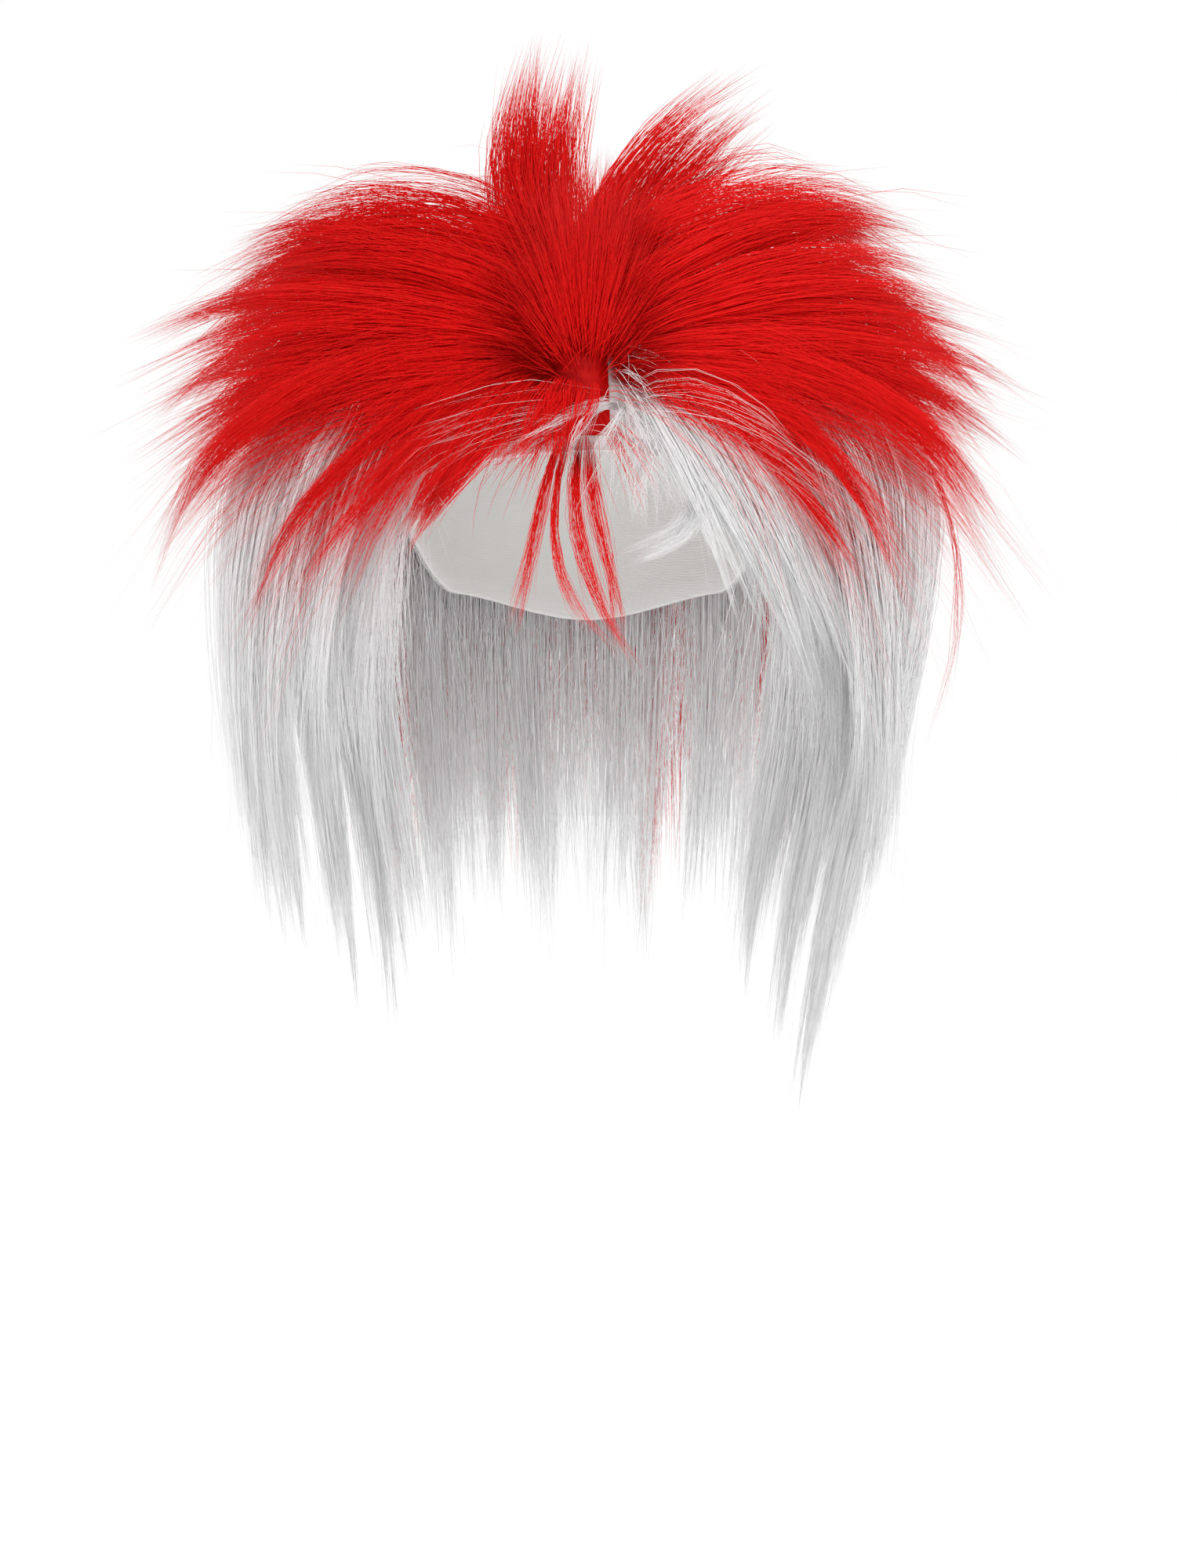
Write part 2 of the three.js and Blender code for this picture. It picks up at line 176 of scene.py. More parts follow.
# Thin trails that curl down from each wing over the side hair, and a red lock outside the side hair
TRAILS = {
    Hand.RIGHT: (
        Wisp(-8, -50, -70, -34, -162, -62, -178, -140, -74, 12),
        Wisp(-9, -55, -55, -52, -122, -95, -141, -166, -90, 8),
        Wisp(-9, -58, -40, -60, -88, -98, -119, -146, -94, 8),
    ),
    Hand.LEFT: (
        Wisp(8, -50, 70, -36, 154, -62, 171, -136, -74, 12),
        Wisp(9, -55, 56, -42, 110, -78, 137, -168, -90, 8),
        Wisp(9, -58, 42, -58, 88, -96, 114, -142, -94, 8),
    ),
}
STRAYS = {Hand.RIGHT: (), Hand.LEFT: (Hang(80, 66, 143, -5, -207, 86, 7),)}

# The strands of the two spikes over the forehead, and a sparse tuft behind each
SPIKE_STRANDS = (
    Wisp(-12, -14, -35, 8, -35, 54, -20, 96, -14, 22),
    Wisp(-9, -14, -26, 14, -24, 55, -11, 97, -12, 18),
    Wisp(-6, -14, -16, 20, -12, 56, -1, 100, -10, 18),
    Wisp(-4, -14, 10, 28, 26, 56, 74, 84, -12, 13),
    Wisp(4, -14, 22, 16, 44, 48, 76, 74, -6, 13),
    Wisp(6, -16, 28, 10, 50, 40, 78, 60, -2, 13),
)
SPARSE_TUFTS = (
    Sweep(-68, 45, 33, -75, 12, 24, 12, 44),
    Sweep(62, 45, 38, 75, 12, 24, 12, 44),
)

# Rings of locks round the back of the crown from the top down, and the feathered brim below them
CROWN_RINGS = (
    Ring(5, 112, 248, 98, Sweep(0, 0, -6, 0, 10, 12, 12, 44)),
    Ring(6, 112, 248, 118, Sweep(0, 0, -58, 0, 26, 30, 26, 40)),
    Ring(6, 116, 244, 134, Sweep(0, 0, -104, 0, 40, 40, 40, 44)),
)
BRIM_LOCK = Sweep(0, 0, -124, 0, 38, 46, 54, 40)
CROWN_BRIM = (
    Ring(5, 140, 220, 138, BRIM_LOCK),
    Ring(4, 98, 146, 156, BRIM_LOCK),
    Ring(4, 214, 262, 156, BRIM_LOCK),
)

# The fringe: red locks and the thin ones that hang from them, the white forelock, and wisps over both
FRINGE_RED = (
    Sweep(-72, -112, -126, -14, 64, 22, 12, 28),
    Sweep(-41, -117, -109, -8, 65, 20, 8, 24),
    Sweep(-11, -118, -107, -3, 65, 16, 8, 24),
)
THICK_ROWS = slice(0, 1)
SHORT_ROWS = slice(1, None)
THIN_LOCKS = (
    Wisp(-10, -84, -19, -105, -22, -135, -33, -171, -116, 5),
    Wisp(-7, -84, -17, -115, -16, -150, 12, -174, -118, 4),
    Wisp(-3, -84, -9, -118, 0, -142, 22, -179, -119, 6),
    Wisp(1, -84, 0, -115, 14, -136, 18, -167, -118, 6),
)
FRINGE_WHITE = (
    Sweep(68, -97, -167, 14, 65, 26, 28, 26),
    Sweep(94, -88, -192, 22, 65, 26, 34, 32),
    Sweep(117, -76, -205, 32, 66, 26, 36, 32),
    Sweep(128, -66, -191, 43, 67, 24, 38, 28),
)
INNER_ROWS = slice(0, 2)
CURL = (Wisp(44, -96, 48, -118, 36, -128, 14, -134, -113, 8),)
WHITE_WISPS = (
    Wisp(15, -71, 2, -68, -18, -80, -36, -92, -118, 7),
    Wisp(15, -71, 0, -68, -6, -82, -7, -97, -117, 5),
    Wisp(16, -72, 12, -74, 6, -86, 1, -97, -116, 5),
    Wisp(24, -90, 22, -100, 21, -112, 20, -128, -110, 4),
)
MIXED_WISPS = (
    Wisp(8, -71, -22, -70, -60, -80, -97, -98, -110, 16),
    Wisp(4, -72, -22, -74, -54, -86, -86, -108, -112, 16),
    Wisp(0, -73, -20, -76, -44, -88, -66, -112, -114, 14),
    Wisp(17, -70, 44, -66, 84, -84, 124, -140, -96, 18),
    Wisp(18, -71, 42, -70, 78, -90, 108, -146, -100, 18),
    Wisp(16, -70, 34, -62, 62, -68, 88, -88, -110, 16),
)

# White hair of each side: the outer locks from the cheek back, the inner locks, then what fills the cheek
OUTER_LOCKS = {
    Hand.RIGHT: (
        Hang(-57, 66, -112, -62, -214, 56, 32),
        Hang(-67, 66, -136, -40, -262, 90, 36),
        Hang(-78, 66, -130, -18, -281, 102, 38),
        Hang(-90, 66, -120, 6, -293, 100, 38),
        Hang(-103, 66, -100, 32, -317, 88, 38),
        Hang(-117, 68, -84, 56, -322, 72, 36),
    ),
    Hand.LEFT: (
        Hang(57, 66, 118, -60, -216, 56, 32),
        Hang(67, 66, 113, -38, -272, 104, 36),
        Hang(79, 66, 98, -18, -322, 118, 38),
        Hang(90, 66, 90, 2, -355, 114, 36),
        Hang(103, 66, 80, 30, -336, 94, 36),
        Hang(117, 68, 68, 54, -312, 74, 36),
    ),
}
INNER_LOCKS = {
    Hand.RIGHT: (
        Hang(-64, 84, -102, -32, -240, 38, 32),
        Hang(-84, 84, -100, 4, -297, 48, 36),
        Hang(-106, 90, -70, 44, -316, 34, 36),
    ),
    Hand.LEFT: (
        Hang(64, 84, 94, -32, -244, 38, 32),
        Hang(84, 84, 92, 4, -316, 52, 36),
        Hang(106, 90, 64, 44, -310, 34, 36),
    ),
}
CHEEK_LOCKS = {
    Hand.RIGHT: (
        Hang(-50, 66, -108, -66, -236, 40, 30),
        Hang(-58, 66, -122, -50, -262, 66, 34),
    ),
    Hand.LEFT: (
        Hang(50, 66, 110, -68, -250, 40, 30),
        Hang(58, 66, 112, -50, -290, 66, 34),
    ),
}
LOOSE_ROWS = slice(0, 3)
POINTED_ROWS = slice(1, 6)
HIGH_ROWS = slice(3, 6)


def unit(vectors: Array) -> Array:
    """Vectors divided by their lengths."""
    return vectors / np.linalg.norm(vectors, axis=-1, keepdims=True).clip(TINY)


def mixed(a: Array | float, b: Array | float, share: Array | float) -> Array:
    """A straight mix of two values."""
    return a + (b - a) * share


def eased(value: Array | float, low: float, high: float) -> Array:
    """A smooth step from 0 at low to 1 at high."""
    t = np.clip((value - low) / (high - low), 0.0, 1.0)
    return t * t * (3 - 2 * t)


@dataclass(frozen=True)
class Head:
    """The head that the cap is made for: an ellipsoid whose top is the origin."""

    half_breadth: float = 77 * MM
    half_length: float = 97 * MM
    crown_rise: float = 105 * MM

    def axes(self, offset: float = 0.0) -> Array:
        """The half axes, grown by a height over the surface."""
        return np.array([self.half_breadth, self.half_length, self.crown_rise]) + offset

    def at(self, azimuth: Array | float, polar: Array | float, offset: Array | float) -> Array:
        """Points at a height over the head: sine and cosine of the two angles times the grown half axes.

        Args:
            azimuth: degrees round the head, 0 at the middle of the forehead.
            polar: degrees down from the top.
            offset: height over the head's surface.

        Returns:
            Points with a last axis of three.
        """
        around, down = np.radians(azimuth), np.radians(polar)
        return np.stack(
            np.broadcast_arrays(
                (self.half_breadth + offset) * np.sin(down) * np.sin(around),
                -(self.half_length + offset) * np.sin(down) * np.cos(around),
                (self.crown_rise + offset) * np.cos(down) - self.crown_rise,
            ),
            axis=-1,
        )

    def outward(self, points: Array) -> Array:
        """Unit directions away from the head: the gradient of its ellipsoid at the points."""
        return unit((points + self.crown_rise * UP) / self.axes() ** 2)

    def clear(self, points: Array, offset: float) -> Array:
        """Points moved straight out from the head's middle to at least a height over its surface."""
        middle = -self.crown_rise * UP
        depth = np.linalg.norm((points - middle) / self.axes(offset), axis=-1, keepdims=True)
        return middle + (points - middle) / np.minimum(depth, 1.0).clip(TINY)


HEAD = Head()
BACKING_LOW = 2.8 * MM
BACKING_HIGH = 6.8 * MM
COAT_OFFSET = BACKING_HIGH - 1 * MM
ROOT_OFFSET = 4.8 * MM

# Hair fans out from the whorl at the hairline, the forelock from a crest above it
WHORL_POLAR = 70.0
CREST_POLAR = 59.0
WHORL = tuple(HEAD.at(0.0, WHORL_POLAR, ROOT_OFFSET))
CREST = tuple(HEAD.at(0.0, CREST_POLAR, ROOT_OFFSET))

# The cap's edge from the middle of the forehead round to the nape: azimuth and polar angle in degrees
CAP_RIM = ((0, 81), (45, 83), (70, 96), (95, 92), (130, 108), (180, 114))
CROWN_EDGE = 58.0
BACK_LAYER_EDGE = 72.0
FRINGE_PART = 7.0
FRINGE_MARGIN = 3.0
TEMPLE = 52.0
BEHIND_EAR = 125.0


def cap_edge(azimuth: Array) -> Array:
    """The polar angle of the cap's edge, eased between the rows of its table, the same on both sides."""
    turn = np.abs((np.asarray(azimuth, dtype=float) + 180) % 360 - 180)
    marks = np.array(CAP_RIM, dtype=float)
    low = np.clip(np.searchsorted(marks[:, 0], turn, side="right") - 1, 0, len(marks) - 2)
    share = (turn - marks[low, 0]) / (marks[low + 1, 0] - marks[low, 0])
    return mixed(marks[low, 1], marks[low + 1, 1], eased(share, 0.0, 1.0))


def fringe_edge(azimuth: Array) -> Array:
    """The polar angle where the fringe's backing ends, a little above the cap's edge."""
    return cap_edge(azimuth) - FRINGE_MARGIN


def level_edge(polar: float) -> Callable[[Array], Array]:
    """An edge at the same polar angle all round."""
    return lambda azimuth: np.full_like(np.asarray(azimuth, dtype=float), polar)


@dataclass(frozen=True)
class Paths:
    """Middle lines of locks, as cubic curves.

    control holds four points for each lock, width its full width, outward the way it leaves the head and
    mate the lock beside it, which is itself where it stands alone.
    """

    control: Array
    width: Array
    outward: Array
    mate: Array

    def points(self, t: Array) -> Array:
        """Points along the curves: the four control points weighed by the cubic Bernstein polynomials.

        Args:
            t: places along each lock, one row a lock.

        Returns:
            Points with axes lock, place and coordinate.
        """
        s = 1 - t
        weights = np.stack([s**3, 3 * s * s * t, 3 * s * t * t, t**3], axis=-1)
        return np.einsum("nmk,nkc->nmc", weights, self.control)

    def between(self, index: Array, share: Array) -> Paths:
        """Locks that lie between each lock named and its mate, at a share of the way."""
        mate, part = self.mate[index], share[:, None]
        return Paths(
            mixed(self.control[index], self.control[mate], part[..., None]),
            mixed(self.width[index], self.width[mate], share),
            unit(mixed(self.outward[index], self.outward[mate], part)),
            np.arange(len(index)),
        )

    def picked(self, index: Array) -> Paths:
        """The locks at these places in the list, each alone."""
        return self.between(index, np.zeros(len(index)))

    def alone(self) -> Paths:
        """The same locks with no hair between them."""
        return replace(self, mate=np.arange(len(self.width)))


# Where along its chord a swept lock is pulled off it
NEAR_PULL = 0.3
FAR_PULL = 0.7
# How far a hanging lock rises as it leaves the head, and where it has turned down
HANG_RISE = 18 * MM
HANG_TURN = 0.45
# The share of a hanging lock's puff that is left near its tip, as a rule and in the outer side locks
BULGE = 0.34
SIDE_BULGE = 0.13
# How far forward a wisp's four points are, from the head to its tip
WISP_DEPTHS = np.array([0.0, 0.75, 0.95, 1.0])


def fan_mates(count: int) -> Array:
    """The lock beside each lock of a fan: the next one, and itself for the last."""
    return np.minimum(np.arange(count) + 1, count - 1)


def swept_paths(rows: Sequence[Sweep]) -> Paths:
    """Curves of swept locks: pulled off the chord by lift near the root and upwards by arch near the tip.

    Args:
        rows: the locks, in the order of a fan.

    Returns:
        Their paths.
    """
    table = np.array(rows, dtype=float)
    tip = table[:, :3] * MM
    azimuth, polar, lift, arch, width = table[:, 3:].T
    root = HEAD.at(azimuth, polar, ROOT_OFFSET)
    outward = HEAD.outward(root)
    near = mixed(root, tip, NEAR_PULL) + outward * lift[:, None] * MM
    far = mixed(root, tip, FAR_PULL) + UP * arch[:, None] * MM
    return Paths(np.stack([root, near, far, tip], axis=1), width * MM, outward, fan_mates(len(rows)))


def ring_paths(ring: Ring) -> Paths:
    """Curves of a ring of swept locks: each lock's tip is straight out from the middle at its azimuth.

    Args:
        ring: the locks.

    Returns:
        Their paths.
    """
    rows = [
        ring.lock._replace(
            azimuth=float(a),
            tip_x=ring.reach * math.sin(math.radians(a)),
            tip_y=-ring.reach * math.cos(math.radians(a)),
        )
        for a in np.linspace(ring.start, ring.end, ring.count)
    ]
    return swept_paths(rows)


def hanging_paths(rows: Sequence[Hang], bulge: float = BULGE) -> Paths:
    """Curves of hanging locks: out level by puff and a little up, then down to the tip from the outside.

    Args:
        rows: the locks, in the order of a fan.
        bulge: the share of puff that is left near the tip.

    Returns:
        Their paths.
    """
    table = np.array(rows, dtype=float)
    azimuth, polar = table[:, 0], table[:, 1]
    tip = table[:, 2:5] * MM
    puff, width = table[:, 5:6] * MM, table[:, 6] * MM
    root = HEAD.at(azimuth, polar, ROOT_OFFSET)
    outward = HEAD.outward(root)
    level = unit(outward * np.array([1.0, 1.0, 0.0]))
    near = root + level * puff + UP * HANG_RISE
    far = tip + level * puff * bulge + UP * (root - tip)[:, 2:] * HANG_TURN
    return Paths(np.stack([root, near, far, tip], axis=1), width, outward, fan_mates(len(rows)))


def wisp_paths(rows: Sequence[Wisp]) -> Paths:
    """Curves of wisps through their four points, each rooted on the front of the head, coming forward.

    Args:
        rows: the wisps.

    Returns:
        Their paths.
    """
    table = np.array(rows, dtype=float) * MM
    x, z = table[:, 0:8:2], table[:, 1:8:2]
    axes = HEAD.axes(BACKING_HIGH)
    height = z[:, 0] + HEAD.crown_rise
    root_y = -axes[1] * np.sqrt(1 - (x[:, 0] / axes[0]) ** 2 - (height / axes[2]) ** 2)
    y = mixed(root_y[:, None], table[:, 8:9], WISP_DEPTHS)
    control = np.stack([x, y, z], axis=-1)
    forward = np.tile([0.0, -1.0, 0.0], (len(rows), 1))
    return Paths(control, table[:, 9], forward, np.arange(len(rows)))


# A line leaves the head straight out where the cross product with that way is this short
STRAIGHT_OUT = 1e-3
ASLANT = UP + 0.3


def carried(points: Array, outward: Array) -> tuple[Array, Array]:
    """Two directions square to each line, started along the head and carried along without twisting.

    Each step turns the last direction by the rotation that takes one tangent to the next.

    Args:
        points: lines, with axes line, place and coordinate.
        outward: a direction for each line that its flat side faces at the start.

    Returns:
        The directions across the lines and out of their flat sides.
    """
    tangent = unit(np.gradient(points, axis=1))
    across = np.empty_like(points)
    first = np.cross(tangent[:, 0], outward)
    weak = np.linalg.norm(first, axis=-1, keepdims=True) < STRAIGHT_OUT
    across[:, 0] = unit(np.where(weak, np.cross(tangent[:, 0], ASLANT), first))
    for k in range(1, points.shape[1]):
        axis = np.cross(tangent[:, k - 1], tangent[:, k])
        cosine = (tangent[:, k - 1] * tangent[:, k]).sum(-1, keepdims=True)
        last = across[:, k - 1]
        lean = (axis * last).sum(-1, keepdims=True) / (1 + cosine).clip(TINY)
        across[:, k] = unit(last * cosine + np.cross(axis, last) + axis * lean)
    return across, np.cross(tangent, across)


@dataclass
class Skin:
    """Vertices, faces of three or four corners, and the fibre map's place of each corner."""

    vertices: Array
    faces: list[Array]
    places: list[Array]

    @staticmethod
    def joined(parts: Sequence[Skin]) -> Skin:
        """Several skins as one."""
        starts = np.cumsum([0] + [len(p.vertices) for p in parts[:-1]])
        faces = [f + start for p, start in zip(parts, starts) for f in p.faces]
        vertices = np.concatenate([p.vertices for p in parts])
        return Skin(vertices, faces, [u for p in parts for u in p.places])

    def piece(self, name: str) -> bpy.types.Object:
        """A Blender object of this skin, at the origin, smooth, with the fibre map.

        Args:
            name: the piece's name.

        Returns:
            The object, linked to the scene.
        """
        mesh = bpy.data.meshes.new(name)
        corners = np.concatenate([f.ravel() for f in self.faces]).astype(np.int32)
        sizes = np.concatenate([np.full(len(f), f.shape[1]) for f in self.faces])
        starts = np.concatenate([[0], np.cumsum(sizes)[:-1]]).astype(np.int32)
        mesh.vertices.add(len(self.vertices))
        mesh.vertices.foreach_set("co", self.vertices.astype(np.float32).ravel())
        mesh.loops.add(len(corners))
        mesh.loops.foreach_set("vertex_index", corners)
        mesh.polygons.add(len(sizes))
        mesh.polygons.foreach_set("loop_start", starts)
        mesh.update(calc_edges=True)
        places = np.concatenate([u.reshape(-1, 2) for u in self.places]).astype(np.float32)
        mesh.uv_layers.new(name=FIBRE_MAP).uv.foreach_set("vector", places.ravel())
        mesh.shade_smooth()
        piece = bpy.data.objects.new(name, mesh)
        bpy.context.scene.collection.objects.link(piece)
        return piece


def corners(*parts: Array) -> Array:
    """One row a face, from an array for each of its corners."""
    return np.stack(parts, axis=-1).reshape(-1, len(parts))


def tube_faces(places: int) -> list[tuple[Array, Array, Array]]:
    """Faces of one fibre: four-cornered ones between its rings, then the triangles of its root and tip.

    Args:
        places: points along the fibre, its two ends among them.

    Returns:
        For each kind the vertices of its corners, and their columns round and rows along the fibre.
    """
    rings = places - 2
    j = np.arange(FIBRE_SIDES)
    beside = (j + 1) % FIBRE_SIDES
    k = np.arange(rings - 1)[:, None]
    low, high = 1 + k * FIBRE_SIDES, 1 + (k + 1) * FIBRE_SIDES
    last = 1 + (rings - 1) * FIBRE_SIDES
    root = np.zeros(FIBRE_SIDES, int)
    column, row = np.broadcast_arrays(j, k + 1)
    end = root + places - 1
    fan = corners(j, j + 1, j)
    return [
        (
            corners(low + j, low + beside, high + beside, high + j),
            corners(column, column + 1, column + 1, column),
            corners(row, row, row + 1, row + 1),
        ),
        (corners(root, 1 + beside, 1 + j), fan, corners(root, root + 1, root + 1)),
        (corners(last + j, last + beside, root + last + FIBRE_SIDES), fan, corners(end - 1, end - 1, end)),
    ]


def fibre_skin(points: Array, radius: Array, column: Array) -> Skin:
    """Fibres along lines: a ring of points at each place, the two ends drawn in to a point.

    A ring point is the line's point plus radius times the cosine and sine of its turn along the two carried
    directions. The fibre map runs across one column round the fibre and from root to tip along it.

    Args:
        points: lines, with axes line, place and coordinate; the first and last places are the ends.
        radius: with axes line and place.
        column: each fibre's column of the fibre map.

    Returns:
        The skin of all the fibres.
    """
    lines, places = points.shape[:2]
    across, face = carried(points, HEAD.outward(points[:, 0]))
    turn = np.arange(FIBRE_SIDES) / FIBRE_SIDES * FULL_TURN
    reach = radius[:, 1:-1, None, None]
    ring = (
        points[:, 1:-1, None]
        + across[:, 1:-1, None] * (reach * np.cos(turn)[:, None])
        + face[:, 1:-1, None] * (reach * np.sin(turn)[:, None])
    )
    vertices = np.concatenate([points[:, :1], ring.reshape(lines, -1, 3), points[:, -1:]], axis=1)
    first = np.arange(lines)[:, None, None] * vertices.shape[1]
    along = np.arange(places) / (places - 1)
    start = (column + COLUMN_MARGIN) / FIBRE_COLUMNS
    u = start[:, None] + COLUMN_SPAN / FIBRE_COLUMNS * np.arange(FIBRE_SIDES + 1) / FIBRE_SIDES
    faces, maps = [], []
    for vertex, around, row in tube_faces(places):
        faces.append((first + vertex).reshape(-1, vertex.shape[1]))
        v = np.broadcast_to(along[row], (lines, *row.shape))
        maps.append(np.stack([u[:, around], v], axis=-1).reshape(-1, row.shape[1], 2))
    return Skin(vertices.reshape(-1, 3), faces, maps)


# How far hair may stand outside the solids' box: a share of the box's sides and a step more
SPARE_SHARE = 0.028
SPARE_STEP = 9 * MM


def shortened(points: Array) -> Array:
    """Lines drawn in about their roots where they would leave the space that the wig may take up.

    The space is the solids' box, grown by a share of its sides and a little more.

    Args:
        points: lines, with axes line, place and coordinate.

    Returns:
        The lines, each scaled about its first point by the largest share up to 1 that keeps it inside.
    """
    low, high = (np.array(corner) for corner in CAD_BOX)
    spare = (high - low) * SPARE_SHARE + SPARE_STEP
    root = points[:, :1]
    step = points - root
    room = np.where(step > 0, high + spare - root, root - low + spare)
    share = (room / np.abs(step).clip(TINY)).min(axis=(1, 2)).clip(0.0, 1.0)
    return root + step * share[:, None, None]


@dataclass(frozen=True)
class Lay:
    """How hair lies in a lock.

    clumps are the tufts of a lock of middle size and fibres the fibres of each; places are the points along
    a fibre and radius its half thickness. flat is the lock's thickness by its width, shortest and longest
    bound the tufts' lengths by the lock's, begin and layered say how far down the lock they start, ragged
    how unevenly they end, tip the lock's width at its tip and droop its fall there. splay, spread and gather
    say how tufts turn aside, how wide they are and how far they close up; wave and sway are their waves, and
    stray is the share of fibres that leave them, by stray_reach.
    """

    clumps: int = 13
    fibres: int = 25
    places: int = 6
    radius: float = 0.2 * MM
    flat: float = 0.52
    shortest: float = 0.6
    longest: float = 1.02
    begin: float = 0.0
    layered: float = 0.3
    ragged: float = 0.16
    tip: float = 0.16
    droop: float = 0.0
    splay: float = 6 * MM
    spread: float = 0.5
    gather: float = 0.8
    wave: float = 1.0 * MM
    sway: float = 2.5 * MM
    stray: float = 0.08
    stray_reach: float = 20 * MM

    def fullness(self, t: Array) -> Array:
        """A lock's share of its full width: up from the root to the fullest place, then down to the tip."""
        at_root, fullest, past_tip, fall = 0.55, 0.38, 1.2, 1.7
        rising = mixed(at_root, 1.0, eased(t, 0.0, fullest))
        beyond = np.clip((t - fullest) / (1 - fullest), 0.0, past_tip)
        return np.where(t < fullest, rising, mixed(1.0, self.tip, beyond**fall))


def disc(reach: float, area: Array, turn: Array) -> Array:
    """Places in a disc from shares of its area and turns about its middle."""
    out = np.sqrt(area) * reach
    return np.stack([out * np.cos(turn), out * np.sin(turn)], axis=-1)


# How chance sets tufts: mostly near a lock or its mate, as both shape numbers of the beta chance are
# below 1, in the inner share of a lock's section, and mostly long ones, shorter between two locks
FEWEST_TUFTS = 3
BETA_SHAPE = 0.7
INNER_AREA = 0.6
LENGTH_POWER = 0.6
BETWEEN_SHORTER = 0.1
# Short tufts start further down their lock
START_POWER = 1.5
START_BELOW = 1.15
START_STEP = 2
# A tuft's turn aside, across the lock and out of it, and its slow wave
BEND_WAYS = np.array([1.0, 0.6])
SWAY_TURNS = 4.5
SWAY_RISE = 0.4
# How single fibres differ within a tuft, and how late on their way they close up and grow thin
FIBRE_LONGEST = 1.03
STRAY_LENGTHS = (0.8, 1.1)
FIBRE_SPLAY = 0.22
TIPWARD_POWER = 1.5
THICKNESSES = (0.75, 1.25)
STRAY_THICKNESS = 0.7
TIP_THICKNESS = 0.35
WAVE_SIZES = (0.2, 1.2)
WAVE_TURNS = 7


